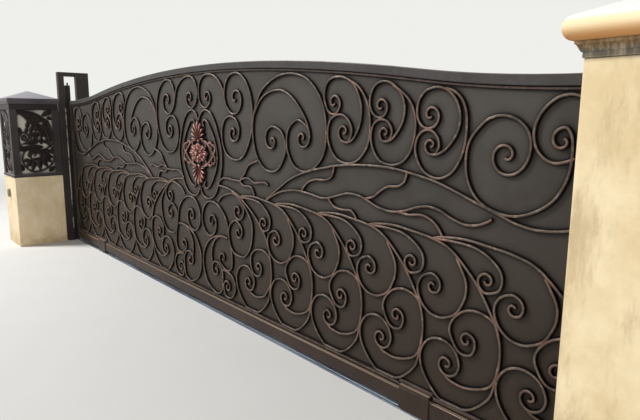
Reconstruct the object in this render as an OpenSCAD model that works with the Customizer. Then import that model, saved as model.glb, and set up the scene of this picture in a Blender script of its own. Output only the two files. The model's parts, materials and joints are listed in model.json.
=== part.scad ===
/* [Gate leaf] */
// Distance from the medallion axis to the closing end of the leaf
leaf_half = 3015; // [2990:5:3020]
// Extra length behind the right pier, past the mirror image of the closing end
leaf_tail = 135; // [100:5:200]
// Height of the crown above the paving
crown_z = 1828; // [1800:1:1860]
// Distance from the medallion axis to where the arched top turns to its sweep-out
crown_reach = 2100; // [2000:10:2200]
// Radius of the arched top
crown_r = 15200; // [14000:100:17000]
// Radius of the reverse sweep near the ends
sweep_r = 6000; // [5000:100:7000]
// Depth of the frame tubes, street to yard
frame_d = 70; // [60:2:80]
// Face height of the top rail
top_rail_h = 44; // [40:1:50]
// Face width of the two end stiles
stile_w = 50; // [40:2:60]
// Underside of the bottom rail above the paving
rail_z = 40; // [36:1:46]
// Face height of the bottom rail
bottom_rail_h = 78; // [70:1:80]
// Thickness of the backing sheet
sheet_t = 3; // [2:0.5:5]

/* [Scrollwork] */
// How far the bars' fronts lie behind the frame's street face
set_back = 7; // [2:1:12]
// Width of the forged bars
bar_w = 14; // [12:1:16]
// How far the bars stand off the backing sheet
bar_t = 14; // [10:1:16]
// Spacing of the repeated scrolls along the lower half
pitch = 412; // [410:1:414]
// How many of them stand on each side
repeats = 5; // [5:1:5]

/* [Wheels and track] */
// Outer radius of the grooved wheels
wheel_r = 42; // [38:1:44]
// Rolling radius at the bottom of the groove
tread_r = 34; // [30:1:36]
// Width of a wheel
wheel_w = 32; // [28:1:34]
// Centre of the left wheel from the medallion axis
left_wheel_x = 2200; // [2150:10:2250]
// Centre of the right wheel from the medallion axis
right_wheel_x = 2117; // [2090:1:2150]
// Thickness of the track's base strip
track_t = 8; // [6:1:10]
// Width of the track's base strip
track_w = 60; // [50:5:80]
// How far the leaf slides open
travel = 6000; // [5800:50:6100]

/* [Piers and posts] */
// Inner face of the low left pier from the medallion axis
left_pier_x = 3034; // [3030:1:3045]
// Inner face of the right pier from the medallion axis
right_pier_x = 3090; // [3080:5:3120]
// Street face of both piers in front of the leaf's middle plane
pier_front = 650; // [600:10:700]
// Depth of the low left pier, street to yard
pier_d = 500; // [450:10:520]
// Width of the low left pier
left_pier_w = 500; // [450:10:540]
// Height of the low left pier
left_pier_h = 780; // [700:10:800]
// Width of the right pier
right_pier_w = 500; // [450:10:600]
// Depth of the right pier, street to yard
right_pier_d = 450; // [400:10:460]
// Height of the right pier up to its moulded neck
right_pier_h = 1613; // [1560:1:1650]
// Underside of the lantern's frieze above the paving
lantern_top = 1520; // [1480:10:1600]
// Width of the bars in the lantern's panels
panel_bar = 27; // [14:1:32]
// Side of the goal post's square tubes
goal_tube = 66; // [50:2:70]
// Top of the goal post
goal_z = 1945; // [1930:5:2000]

/* [Hidden] */

face_y = -frame_d / 2;
bar_back = face_y + set_back + bar_t;
steel = "#4e4744";
bronze = "#5a4a42";
copper = "#b07058";
stucco = "#e2cfa6";
weld_gap = 0.3;
inner_x = leaf_half - stile_w;
right_end = leaf_half + leaf_tail;
axle_z = track_t + 8 + wheel_r;
plate_w = 186;
plate_t = 6;
plate_low = 18;
plate_high = 131;
box_w = 150;

// Smooth curves through hand-set points
function slide_point(p, q, r, s, t) =
    0.5 * (2 * q + (r - p) * t + (2 * p - 5 * q + 4 * r - s) * t * t + (3 * q - p - 3 * r + s) * t * t * t);
function smooth(k, step = 32) = let (m = len(k) - 1) concat(
    [for (i = [0 : m - 1]) let (n = max(1, round(norm(k[i + 1] - k[i]) / step))) for (j = [0 : n - 1])
        slide_point(k[max(i - 1, 0)], k[i], k[i + 1], k[min(i + 2, m)], j / n)],
    [k[m]]);

// Points of a coil that winds in from a start point round its eye
function coil(eye, start, turns, ease = 1.3, tip = 9) =
    let (d = start - eye, r = norm(d), a = atan2(d[1], d[0]), n = ceil(abs(turns) * 10))
    [for (i = [1 : n]) let (t = i / n, q = tip + (r - tip) * pow(1 - t, ease), b = a + 360 * turns * t)
        eye + q * [cos(b), sin(b)]];
function reversed(p) = [for (i = [len(p) - 1 : -1 : 0]) p[i]];
function moved(k, x) = [for (p = k) p + [x, 0]];

// A scroll: a run of points with a coil at its far end, and one at its near end if it has two
function scroll(k, eye, turns, ease = 1.3) = concat(k, coil(eye, k[len(k) - 1], turns, ease));
function s_scroll(near_eye, near_turns, k, eye, turns, near_ease = 1.3, ease = 1.3) =
    concat(reversed(coil(near_eye, k[0], near_turns, near_ease)), scroll(k, eye, turns, ease));

// A flat bar along a path, drawn in the leaf's plane, with both tips drawn out thinner
module bar(k, w = bar_w) {
    p = smooth(k);
    m = len(p) - 1;
    side = [for (i = [0 : m])
        let (d = p[min(i + 1, m)] - p[max(i - 1, 0)],
             e = min(i, m - i),
             h = w / 2 * (e < 3 ? 0.6 + 0.13 * e : 1))
        h * [-d[1], d[0]] / norm(d)];
    polygon(concat(p + side, reversed(p - side)));
}

// Bars fused where they meet, with crevices under a millimetre filled
module welded() {
    offset(delta = 0.4) offset(delta = -0.9) offset(delta = 0.5) children();
}

// A drawing in the leaf's plane raised into a plate whose yard face is at y
module raise(y, t) {
    translate([0, y, 0]) rotate([90, 0, 0]) linear_extrude(t) children();
}
module both_sides() {
    children();
    mirror([1, 0, 0]) children();
}

// Height of the leaf's top edge at a distance from the medallion axis
function top_z(x) =
    let (a = abs(x), slope = crown_reach / crown_r, b = min(a - crown_reach, slope * sweep_r))
    a < crown_reach ? crown_z - a * a / (2 * crown_r)
    : crown_z - crown_reach * slope / 2 - slope * b + b * b / (2 * sweep_r);
function top_line(x0, x1, drop, steps = 60) =
    [for (i = [0 : steps]) let (x = x0 + (x1 - x0) * i / steps) [x, top_z(x) - drop]];
module top_band(x0, x1, upper, lower) {
    polygon(concat(top_line(x0, x1, upper), reversed(top_line(x0, x1, lower))));
}

// Gate leaf frame
module top_rail() {
    color(steel) raise(frame_d / 2, frame_d) top_band(-leaf_half, right_end, 0, top_rail_h);
}
module stile(x) {
    color(steel) translate([x, face_y, rail_z + bottom_rail_h])
        cube([stile_w, frame_d, top_z(leaf_half) - top_rail_h - rail_z - bottom_rail_h]);
}
module stile_left() { stile(-leaf_half); }
module stile_right() { stile(right_end - stile_w); }
module bottom_rail() {
    color(steel) difference() {
        translate([-leaf_half, face_y, rail_z]) cube([leaf_half + right_end, frame_d, bottom_rail_h]);
        for (x = [-left_wheel_x, right_wheel_x])
            translate([x - box_w / 2, face_y - 1, rail_z - 1]) cube([box_w, frame_d + 2, bottom_rail_h + 2]);
    }
}
module sheet() {
    color(steel) raise(bar_back + sheet_t, sheet_t) polygon(concat(
        [[right_end - stile_w, rail_z + bottom_rail_h], [-inner_x, rail_z + bottom_rail_h]],
        top_line(-inner_x, right_end - stile_w, top_rail_h + weld_gap)));
}
module top_moulding() {
    color(steel) raise(bar_back, 10) top_band(-inner_x, right_end - stile_w, top_rail_h + 3, top_rail_h + 14);
}

// The lower moulding steps up over each wheel housing
module moulding_run(x0, x1, z) {
    translate([x0, z]) square([x1 - x0, 20]);
}
module moulding_outline() {
    low = 130;
    high = 146;
    step = 105;
    moulding_run(-inner_x, -left_wheel_x - step, low);
    moulding_run(-left_wheel_x - step, -left_wheel_x + step, high);
    moulding_run(-left_wheel_x + step, right_wheel_x - step, low);
    moulding_run(right_wheel_x - step, right_wheel_x + step, high);
    moulding_run(right_wheel_x + step, right_end - stile_w, low);
}
module bottom_moulding() { color(steel) raise(bar_back, 10) moulding_outline(); }
module rear_stiffeners() {
    color(steel) for (x = [-2000, -1000, 0, 1000, 2000])
        translate([x - 20, bar_back + sheet_t, rail_z + bottom_rail_h])
            cube([40, 38, top_z(abs(x) + 20) - top_rail_h - weld_gap - rail_z - bottom_rail_h]);
}

// Wheel housings: two cheek plates, a lid and the axle pin
module wheel_housing(x) {
    lid = rail_z + bottom_rail_h - 6;
    color(bronze) {
        for (y = [face_y - plate_t, -face_y])
            translate([x - plate_w / 2, y, plate_low]) cube([plate_w, plate_t, plate_high - plate_low]);
        translate([x - box_w / 2, face_y, lid]) cube([box_w, frame_d, 6]);
        translate([x, face_y - 1, axle_z]) rotate([-90, 0, 0]) cylinder(r = 8, h = frame_d + 2, $fn = 32);
    }
}
module wheel_housing_left() { wheel_housing(-left_wheel_x); }
module wheel_housing_right() { wheel_housing(right_wheel_x); }
module wheel(x) {
    groove = wheel_r - tread_r;
    color("#8a8a88") translate([x, 0, axle_z]) rotate([90, 0, 0]) rotate_extrude($fn = 64)
        polygon([[8.05, -wheel_w / 2], [wheel_r, -wheel_w / 2], [wheel_r, -groove], [tread_r, 0],
                 [wheel_r, groove], [wheel_r, wheel_w / 2], [8.05, wheel_w / 2]]);
}
module wheel_left() { wheel(-left_wheel_x); }
module wheel_right() { wheel(right_wheel_x); }

// Track: a base strip with a V rail, as long as the leaf and its travel together
track_start = -leaf_half - 10;
track_end = right_end + travel + 80;
module track() {
    ridge = axle_z - tread_r - 0.4;
    color("#7d8790") translate([track_start, 0, 0]) rotate([90, 0, 90])
        linear_extrude(track_end - track_start)
            polygon([[-track_w / 2, 0], [track_w / 2, 0], [track_w / 2, track_t],
                     [ridge - track_t, track_t], [0, ridge], [track_t - ridge, track_t],
                     [-track_w / 2, track_t]]);
}

module track_stops() {
    color(steel) translate([track_end, -track_w / 2, 0]) {
        cube([10, track_w, 90]);
        translate([-50, -16, track_t + 18]) cube([50, 60, 30]);
    }
}

// Lower scrollwork, repeated along each side
stem = [[532, 918], [590, 934], [712, 944], [832, 934], [952, 918], [1052, 884], [1156, 796],
        [1218, 722], [1268, 645], [1302, 586], [1322, 500], [1318, 402], [1292, 330],
        [1240, 290], [1155, 264], [1082, 270], [1052, 285]];
hook = scroll([[532, 918], [632, 924], [752, 918], [832, 888], [888, 840], [900, 790],
               [882, 750], [832, 730]], [828, 782], -1.3);
fan = scroll([[1082, 854], [1134, 764], [1140, 702], [1124, 650], [1092, 596], [1040, 564],
              [998, 554], [944, 564], [892, 607], [871, 670], [892, 724], [944, 752]], [958, 696], -1.2);
crest = scroll([[1316, 540], [1292, 602], [1252, 628], [1192, 636], [1132, 618], [1082, 570],
                [1063, 518], [1082, 466], [1112, 429], [1150, 418], [1186, 434], [1200, 471]],
               [1155, 487], 1.15);
wave = scroll([[1322, 440], [1297, 298], [1260, 234], [1197, 176], [1134, 150], [1082, 145],
               [1018, 161], [955, 214], [913, 276], [902, 340], [918, 392], [955, 434],
               [1008, 452], [1060, 445], [1102, 414], [1124, 360], [1110, 314], [1076, 290]],
              [1054, 341], -1.15);

// Lower scrollwork beside the medallion axis
first_stem = [[262, 975], [320, 974], [406, 965], [490, 944], [552, 923], [594, 896], [658, 860],
              [720, 818], [784, 764], [826, 722], [868, 660], [894, 576], [912, 470], [905, 402],
              [878, 350], [836, 298], [794, 276], [732, 262], [678, 270], [646, 285]];
first_crest = scroll([[903, 545], [884, 571], [847, 592], [794, 600], [732, 587], [684, 550],
                      [672, 508], [678, 460], [700, 424], [742, 408], [779, 424], [796, 456]],
                     [761, 474], 1.1);
brow = scroll([[258, 858], [320, 904], [426, 934], [490, 934], [552, 902], [590, 862],
               [594, 818], [566, 776]], [520, 820], -1.25);
purse = scroll([[588, 880], [646, 824], [690, 764], [694, 680], [668, 586], [605, 518], [532, 504],
                [462, 514], [412, 566], [394, 638], [404, 690], [430, 722], [490, 752],
                [552, 722]], [521, 672], -1.25, 1.5);
heart = s_scroll([158, 696], 1.1,
                 [[221, 702], [212, 640], [170, 596], [110, 584], [58, 610], [26, 654], [16, 702],
                  [26, 754], [58, 804], [110, 838], [163, 846], [226, 840], [290, 810],
                  [342, 765], [374, 715], [390, 655], [400, 600], [424, 530], [434, 470],
                  [430, 410], [400, 372], [342, 364], [290, 390]],
                 [305, 445], -1.1);
lobe = scroll([[376, 602], [310, 608], [226, 596], [120, 550], [50, 476], [16, 390], [30, 290],
               [80, 210], [180, 160], [250, 166], [292, 210], [300, 270], [296, 340], [260, 388],
               [205, 400]], [202, 334], 1.15);
inner_lobe = [[330, 608], [250, 596], [190, 553], [154, 498], [144, 440], [152, 385]];
drop = scroll([[300, 356], [374, 352], [440, 326], [472, 256], [440, 190], [380, 162],
               [330, 178], [310, 230]], [363, 240], -1.3);

module feathers() {
    for (i = [0 : repeats - 1]) {
        x = i * pitch;
        bar(moved(stem, x));
        bar(moved(hook, x));
        bar(moved(fan, x));
        bar(moved(crest, x));
        bar(moved(wave, x));
    }
    bar(first_stem);
    bar(first_crest);
    bar(moved(wave, -pitch));
    bar(purse);
    bar(brow);
}
module feathers_trimmed() {
    welded() difference() {
        feathers();
        offset(delta = weld_gap) centre_group();
        offset(delta = weld_gap) oval_bars();
        translate([inner_x - weld_gap, 0]) square([200, 2000]);
    }
}
module centre_group() {
    both_sides() {
        bar(heart);
        bar(lobe);
        bar(inner_lobe);
        bar(drop);
    }
}
module centre_scrolls() {
    color(bronze) raise(bar_back, bar_t) welded() difference() {
        centre_group();
        offset(delta = weld_gap) oval_bars();
    }
}
module above_moulding() {
    color(bronze) raise(bar_back, bar_t) welded() difference() {
        children();
        offset(delta = weld_gap) moulding_outline();
    }
}
module feather_scrolls_right() { above_moulding() feathers_trimmed(); }
module feather_scrolls_left() { above_moulding() mirror([1, 0, 0]) feathers_trimmed(); }

// Oval round the medallion
oval_outer = [[6, 1436], [20, 1462], [58, 1498], [110, 1510], [174, 1489], [226, 1438], [268, 1365],
              [302, 1280], [322, 1218], [322, 1144], [305, 1060], [268, 976], [226, 912],
              [174, 874], [110, 862], [58, 872], [22, 902], [6, 932]];
oval_inner = s_scroll([84, 1404], 0.6,
                      [[102, 1437], [140, 1416], [184, 1365], [226, 1302], [256, 1218],
                       [260, 1154], [242, 1091], [205, 1028], [152, 965], [104, 938]],
                      [84, 970], -0.6);
module oval_bars() {
    both_sides() {
        bar(oval_outer);
        bar(oval_inner);
    }
}
module oval_surround() {
    color(bronze) raise(bar_back, bar_t) welded() oval_bars();
}

// Upper scrollwork
crown_scroll = scroll([[372, 1600], [362, 1634], [340, 1670], [300, 1710], [236, 1746], [163, 1760],
                       [89, 1752], [36, 1712], [14, 1659], [14, 1606], [36, 1560], [74, 1532],
                       [116, 1527], [158, 1546]],
                      [130, 1600], 1.25, 1.5);
three_scroll = s_scroll([510, 1584], 1.25,
                        [[468, 1484], [416, 1519], [384, 1564], [374, 1617], [390, 1680],
                         [436, 1733], [500, 1750], [563, 1742], [636, 1696], [684, 1628],
                         [708, 1554], [716, 1470], [705, 1376], [668, 1292], [616, 1218],
                         [552, 1180], [490, 1174], [426, 1186], [374, 1222], [340, 1280],
                         [332, 1334], [340, 1386], [364, 1434], [410, 1462], [462, 1464],
                         [520, 1440], [552, 1390], [546, 1336]],
                        [480, 1356], -1.2, 1.5);
arch_scroll = s_scroll([926, 1318], 1.3,
                       [[984, 1396], [1036, 1365], [1066, 1286], [1040, 1204], [963, 1134],
                        [847, 1138], [752, 1228], [716, 1365], [742, 1502], [826, 1628],
                        [984, 1702], [1142, 1712], [1290, 1664], [1400, 1544], [1436, 1386],
                        [1406, 1249], [1290, 1158], [1163, 1170], [1084, 1270], [1092, 1386],
                        [1179, 1447], [1268, 1412]],
                       [1225, 1345], -1.35, 1.4, 1.4);
inner_arch = [[735, 1480], [774, 1533], [816, 1575], [878, 1606], [952, 1622], [1026, 1622],
              [1100, 1596], [1163, 1554], [1216, 1502], [1258, 1449], [1284, 1400]];
pair_short = s_scroll([1496, 1542], 1.2,
                      [[1494, 1480], [1452, 1498], [1425, 1544], [1418, 1591], [1438, 1644],
                       [1479, 1670], [1536, 1676], [1594, 1664], [1652, 1628], [1690, 1564],
                       [1705, 1502], [1694, 1428], [1652, 1358], [1604, 1334], [1562, 1342]],
                      [1576, 1390], -1.0);
pair_long = [[1620, 1652], [1679, 1622], [1732, 1564], [1758, 1502], [1768, 1428], [1763, 1354],
             [1732, 1291], [1679, 1244], [1606, 1224], [1532, 1240], [1479, 1286], [1452, 1344],
             [1449, 1391], [1465, 1444], [1510, 1474], [1563, 1478], [1610, 1452], [1636, 1407],
             [1630, 1364], [1610, 1338]];
second_short = s_scroll([1838, 1520], 1.2,
                        [[1832, 1464], [1796, 1478], [1770, 1508], [1764, 1546], [1774, 1590],
                         [1800, 1622], [1840, 1638], [1890, 1634], [1940, 1606], [1976, 1562],
                         [1992, 1510], [1984, 1452], [1950, 1396], [1908, 1358], [1862, 1350]],
                        [1868, 1391], -1.0);
second_long = [[1914, 1618], [1965, 1590], [2016, 1550], [2046, 1500], [2060, 1440], [2054, 1370],
               [2030, 1304], [1984, 1256], [1921, 1238], [1848, 1250], [1800, 1296], [1776, 1360],
               [1786, 1418], [1812, 1446], [1850, 1456], [1890, 1444], [1914, 1410],
               [1912, 1376], [1892, 1352]];
third_short = s_scroll([2144, 1478], 1.2,
                       [[2132, 1418], [2098, 1430], [2074, 1460], [2067, 1500], [2078, 1548],
                        [2108, 1582], [2150, 1598], [2196, 1598], [2244, 1578], [2280, 1540],
                        [2300, 1490], [2302, 1440], [2284, 1390], [2244, 1338], [2200, 1308],
                        [2158, 1302]], [2152, 1344], -1.0);
third_long = [[2224, 1594], [2268, 1580], [2308, 1546], [2332, 1490], [2338, 1420], [2332, 1350],
              [2310, 1286], [2270, 1228], [2206, 1198], [2140, 1210], [2092, 1248], [2064, 1310],
              [2070, 1366], [2096, 1400], [2130, 1412], [2164, 1404], [2190, 1376],
              [2198, 1340], [2184, 1310]];
great_scroll = s_scroll([2530, 1317], -1.2,
                        [[2594, 1262], [2626, 1312], [2632, 1376], [2610, 1428], [2563, 1465],
                         [2500, 1478], [2436, 1460], [2380, 1407], [2350, 1354], [2342, 1280],
                         [2354, 1207], [2390, 1144], [2447, 1102], [2521, 1080], [2594, 1080],
                         [2668, 1107], [2732, 1154], [2768, 1208], [2790, 1270], [2796, 1340],
                         [2790, 1400], [2768, 1434]], [2756, 1386], 0.95, 1.1, 1.0);
end_ring = [[2900, 1400], [2896, 1440], [2880, 1484], [2850, 1522], [2810, 1546], [2768, 1554],
            [2720, 1540], [2676, 1502], [2648, 1452], [2642, 1400], [2658, 1350], [2694, 1314],
            [2736, 1302], [2776, 1310]];
module upper_group() {
    bar(crown_scroll);
    bar(three_scroll);
    bar(arch_scroll);
    bar(inner_arch);
    bar(pair_short);
    bar(pair_long);
    bar(second_short);
    bar(second_long);
    bar(third_short);
    bar(third_long);
    bar(great_scroll);
    bar(end_ring);
}
module upper_trimmed() {
    welded() difference() {
        upper_group();
        offset(delta = weld_gap) oval_bars();
    }
}
module upper_scrolls_right() { color(bronze) raise(bar_back, bar_t) upper_trimmed(); }
module upper_scrolls_left() { color(bronze) mirror([1, 0, 0]) raise(bar_back, bar_t) upper_trimmed(); }

// Long stem and wavy twigs between the two registers
long_stem = [[858, 938], [910, 976], [994, 1028], [1100, 1091], [1206, 1134], [1310, 1165],
             [1416, 1186], [1510, 1205], [1668, 1221], [1826, 1226], [1952, 1220], [2079, 1202],
             [2194, 1180], [2310, 1144], [2416, 1107], [2510, 1076], [2594, 1049], [2690, 1038],
             [2805, 1054], [2870, 1095], [2920, 1170], [2945, 1270]];
wavy_twig = [[858, 938], [910, 965], [994, 1002], [1078, 1023], [1184, 1034], [1290, 1028],
             [1394, 1016], [1458, 1023], [1532, 1044], [1616, 1065], [1700, 1062], [1763, 1044],
             [1836, 1020], [1921, 1009], [2005, 1023], [2079, 1049], [2152, 1063], [2216, 1054],
             [2279, 1028], [2352, 1009], [2416, 1016], [2458, 1034], [2484, 1051]];
twigs = [
    [[1505, 1205], [1485, 1145], [1430, 1120], [1350, 1116], [1290, 1098], [1250, 1070], [1222, 1036]],
    [[2019, 1210], [2004, 1165], [1963, 1138], [1900, 1130], [1847, 1102], [1805, 1070], [1750, 1054]],
    [[1458, 1020], [1510, 980], [1574, 972], [1636, 976], [1668, 956], [1688, 925]],
    [[1974, 1014], [2036, 1009], [2110, 1018], [2163, 1007], [2205, 980], [2236, 940]],
    [[263, 986], [321, 1028], [374, 1038], [468, 1034], [552, 1034], [584, 1051], [658, 1060],
     [721, 1038], [784, 1044], [847, 1049], [884, 1034]],
    [[552, 1034], [594, 1007], [678, 1007], [710, 986], [726, 954]],
    [[563, 1044], [616, 1091], [648, 1134], [690, 1160], [774, 1186]]
];
module tendril_group() {
    bar(long_stem);
    bar(wavy_twig);
    for (t = twigs) bar(t);
}
module tendrils_trimmed() {
    welded() difference() {
        tendril_group();
        offset(delta = weld_gap) feathers();
        offset(delta = weld_gap) upper_group();
        offset(delta = weld_gap) oval_bars();
    }
}
module tendrils_right() { color(bronze) raise(bar_back, bar_t) tendrils_trimmed(); }
module tendrils_left() { color(bronze) mirror([1, 0, 0]) raise(bar_back, bar_t) tendrils_trimmed(); }

// Cast medallion
medal_z = 1192;

// Outline of a petal from its root at the origin to its tip, widest past the middle
function petal(reach, w, n = 8) = concat(
    [for (i = [0 : n]) [1.5 + w * pow(sin(180 * pow(i / n, 1.5)), 0.8), reach * i / n]],
    [for (i = [n : -1 : 0]) [-1.5 - w * pow(sin(180 * pow(i / n, 1.5)), 0.8), reach * i / n]]);
module petals(count, reach, w, first = 0) {
    welded() for (i = [0 : count - 1])
        rotate(first + 360 * i / count) polygon(petal(reach, w));
}
module rosette_leaves() {
    scale([1.4, 1]) petals(8, 77, 25);
}
module medallion_rosette() {
    color(copper) translate([0, 0, medal_z]) {
        raise(bar_back, 24) rosette_leaves();
        raise(bar_back - 20, 13) scale([1.2, 1]) petals(8, 52, 18, 22.5);
        translate([0, bar_back - 32, 0]) rotate([90, 0, 0]) cylinder(r1 = 15, r2 = 8, h = 10, $fn = 32);
    }
}
module palmette() {
    for (a = [-88 : 22 : 88])
        rotate(a) polygon(petal(140 - 0.6 * abs(a), 13.5 - 0.04 * abs(a)));
    translate([0, -13]) circle(12, $fn = 32);
}
module palmette_pair() {
    welded() difference() {
        translate([0, medal_z]) for (turn = [0, 180])
            rotate(turn) translate([0, 106]) palmette();
        offset(delta = weld_gap) oval_bars();
    }
}
module medallion_palmettes() {
    color(copper) raise(bar_back, 30) palmette_pair();
}

// Crossing S-shaped arms of the medallion's wings, drawn from its centre
wing_arm = [[42, 100], [88, 90], [128, 72], [172, 38], [204, 8], [228, -18], [234, -46], [214, -66],
            [190, -58], [194, -42]];
wing_curl = [[52, 98], [84, 92], [100, 68], [90, 44], [68, 42]];
wing_spur = [[128, 72], [156, 84], [182, 76], [190, 58]];
module wings() {
    translate([0, medal_z]) both_sides() for (up = [-1, 1]) {
        bar([for (k = wing_arm) [k[0], up * k[1]]], 13);
        bar([for (k = wing_curl) [k[0], up * k[1]]], 10);
        bar([for (k = wing_spur) [k[0], up * k[1]]], 9);
    }
}
module medallion_wings() {
    color(copper) raise(bar_back, 20) welded() difference() {
        wings();
        offset(delta = weld_gap) palmette_pair();
        offset(delta = weld_gap) translate([0, medal_z]) rosette_leaves();
        offset(delta = weld_gap) oval_bars();
    }
}

// Left pier, with the ironwork box on it
pier_y = -pier_front;
lantern_low = left_pier_h + 34;
post_w = 70;
panel_in = 18;
pane_t = 5;
module pier_box(x, w, z0, z1, grow = 0, d = pier_d) {
    translate([x - grow, pier_y - grow, z0]) cube([w + 2 * grow, d + 2 * grow, z1 - z0]);
}
left_x = -left_pier_x - left_pier_w;
module pier_left() { color(stucco) pier_box(left_x, left_pier_w, 0, left_pier_h); }
module lantern_base() {
    color(steel) {
        pier_box(left_x, left_pier_w, left_pier_h, left_pier_h + 24, 6);
        difference() {
            pier_box(left_x, left_pier_w, left_pier_h + 24, lantern_low);
            pier_box(left_x + post_w, left_pier_w - 2 * post_w, left_pier_h + 24, lantern_low + 1);
        }
    }
}
module lantern_posts() {
    color(steel) for (x = [left_x, -left_pier_x - post_w], y = [pier_y, pier_y + pier_d - post_w])
        translate([x, y, lantern_low]) cube([post_w, post_w, lantern_top - lantern_low]);
}
module lantern_frieze() { color(steel) pier_box(left_x, left_pier_w, lantern_top, lantern_top + 64); }
module lantern_cap() {
    color(steel) {
        pier_box(left_x, left_pier_w, lantern_top + 64, lantern_top + 84, 9);
        pier_box(left_x, left_pier_w, lantern_top + 84, lantern_top + 122, 16);
        translate([left_x + left_pier_w / 2, pier_y + pier_d / 2, lantern_top + 122]) hull() {
            translate([-left_pier_w / 2 - 10, -pier_d / 2 - 10, 0]) cube([left_pier_w + 20, pier_d + 20, 1]);
            translate([-1, -1, 0]) cube([2, 2, 88]);
        }
    }
}

// Ironwork of one panel, drawn for the deep side from its lower street corner
sweep_top = [[30, 692], [130, 682], [220, 650], [292, 584], [328, 520], [350, 440], [356, 350]];
sweep_one = [[6, 688], [60, 668], [138, 616], [204, 562], [262, 510], [298, 440], [312, 370], [314, 306]];
sweep_two = scroll([[0, 676], [58, 644], [117, 576], [172, 532], [208, 480], [228, 425]],
                   [168, 400], -1.6);
left_eye = scroll([[120, 274], [60, 284], [18, 318], [4, 372], [10, 424], [40, 456]], [62, 404], -1.5);
panel_wave = [[50, 288], [120, 272], [200, 262], [262, 270], [318, 300], [358, 350]];
ring_scroll = scroll([[358, 300], [358, 230], [352, 164], [333, 110], [282, 60], [200, 27], [120, 27],
                      [60, 68], [30, 137], [34, 215], [72, 262]], [146, 205], -1.6);
// Leaves of a panel: root, direction from upright, reach and half width
panel_leaves = [
    [30, 446, 12, 70, 14], [78, 450, -18, 62, 13], [124, 436, -12, 74, 13], [108, 584, 172, 78, 15],
    [160, 548, 160, 84, 14], [216, 556, 152, 96, 18], [262, 514, 166, 116, 20], [236, 420, 176, 96, 15],
    [204, 658, 200, 96, 18], [268, 608, 190, 90, 17], [322, 532, 164, 100, 16], [362, 706, 122, 124, 17],
    [362, 596, 60, 66, 13], [300, 446, 178, 120, 18], [314, 330, 58, 72, 15], [352, 446, 168, 96, 15],
    [60, 70, -35, 104, 20], [120, 30, -14, 116, 20], [200, 30, 2, 122, 20],
    [280, 62, 26, 122, 20], [332, 112, 48, 112, 19], [350, 168, 66, 104, 17], [356, 236, 84, 92, 15],
    [32, 140, -72, 64, 15], [-2, 118, 200, 88, 16], [362, 74, 128, 90, 16], [280, 268, 128, 60, 14]
];
module panel_bars(w) {
    s = w / 360;
    for (run = [sweep_top, sweep_one, sweep_two, left_eye, panel_wave, ring_scroll])
        bar([for (k = run) [k[0] * s, k[1]]], panel_bar);
    for (leaf = panel_leaves)
        translate([leaf[0] * s, leaf[1]]) rotate(leaf[2]) polygon(petal(leaf[3], leaf[4], 6));
}
module panel(w) {
    h = lantern_top - lantern_low;
    welded() intersection() {
        panel_bars(w);
        square([w, h]);
    }
}
jamb_w = pier_d - 2 * post_w;
street_w = left_pier_w - 2 * post_w;
module jamb_panel(x) {
    color(bronze) translate([x, pier_y + post_w, lantern_low]) rotate([90, 0, 90])
        linear_extrude(bar_t) panel(jamb_w);
}
module street_panel(y) {
    color(bronze) translate([left_x + post_w, y, lantern_low]) rotate([90, 0, 0])
        linear_extrude(bar_t) panel(street_w);
}
module grille_jamb() { jamb_panel(-left_pier_x - panel_in - bar_t / 2); }
module grille_outer() { jamb_panel(left_x + panel_in - bar_t / 2); }
module grille_street() { street_panel(pier_y + panel_in + bar_t / 2); }
module grille_yard() { street_panel(pier_y + pier_d - panel_in + bar_t / 2); }
// Opal panes seated behind the ironwork
module lantern_panes() {
    h = lantern_top - lantern_low;
    inner = panel_in + bar_t / 2;
    color("#b5b0a2") {
        for (x = [-left_pier_x - inner - pane_t, left_x + inner])
            translate([x, pier_y + post_w, lantern_low]) cube([pane_t, jamb_w, h]);
        for (y = [pier_y + inner, pier_y + pier_d - inner - pane_t])
            translate([left_x + post_w, y, lantern_low]) cube([street_w, pane_t, h]);
    }
}
module gate_sensor() {
    color("#8c8266") translate([left_x + 215, pier_y, 585]) rotate([90, 0, 0]) scale([1, 1.5, 1])
        cylinder(r1 = 34, r2 = 28, h = 26, $fn = 32);
}

// Goal posts: one takes the closing end of the leaf, and its twin behind the right pier guides the leaf
goal_x = -leaf_half - 20 - goal_tube;
far_x = right_pier_x - 30;
goal_front = -132;
goal_rear = 138;
goal_beam = 46;
module goal_pair(x) {
    for (y = [goal_front, goal_rear])
        translate([x, y, 0]) cube([goal_tube, goal_tube, goal_z - goal_beam]);
}
module goal_beam_at(x) {
    translate([x, goal_front, goal_z - goal_beam])
        cube([goal_tube, goal_rear + goal_tube - goal_front, goal_beam]);
}
module goal_posts() { color(steel) goal_pair(goal_x); }
module goal_header() { color(steel) goal_beam_at(goal_x); }
module far_goal_posts() { color(steel) goal_pair(far_x); }
module far_goal_header() { color(steel) goal_beam_at(far_x); }
module goal_stop_bar() {
    color(steel) {
        translate([goal_x + 10, -56, 0]) cube([40, 54, 1800]);
        translate([goal_x + 30, -24, 1799]) cylinder(r = 9, h = 31, $fn = 32);
        for (z = [300, 900, 1500])
            translate([goal_x + 15, goal_front + goal_tube, z])
                cube([30, -55 - goal_front - goal_tube, 36]);
    }
}
module goal_guide_channel() {
    color(steel) difference() {
        translate([goal_x, 64, 0]) cube([goal_tube, goal_rear - 64, goal_z - goal_beam]);
        translate([goal_x - 1, 72, -1]) cube([goal_tube - 7, goal_rear - 80, 1831]);
    }
}
module far_goal_guides() {
    color("#c9c6bc") for (y = [-frame_d / 2 - 26, frame_d / 2 + 6])
        translate([far_x + 10, y, 1540]) cube([40, 20, goal_z - goal_beam - 1540]);
}

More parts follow.
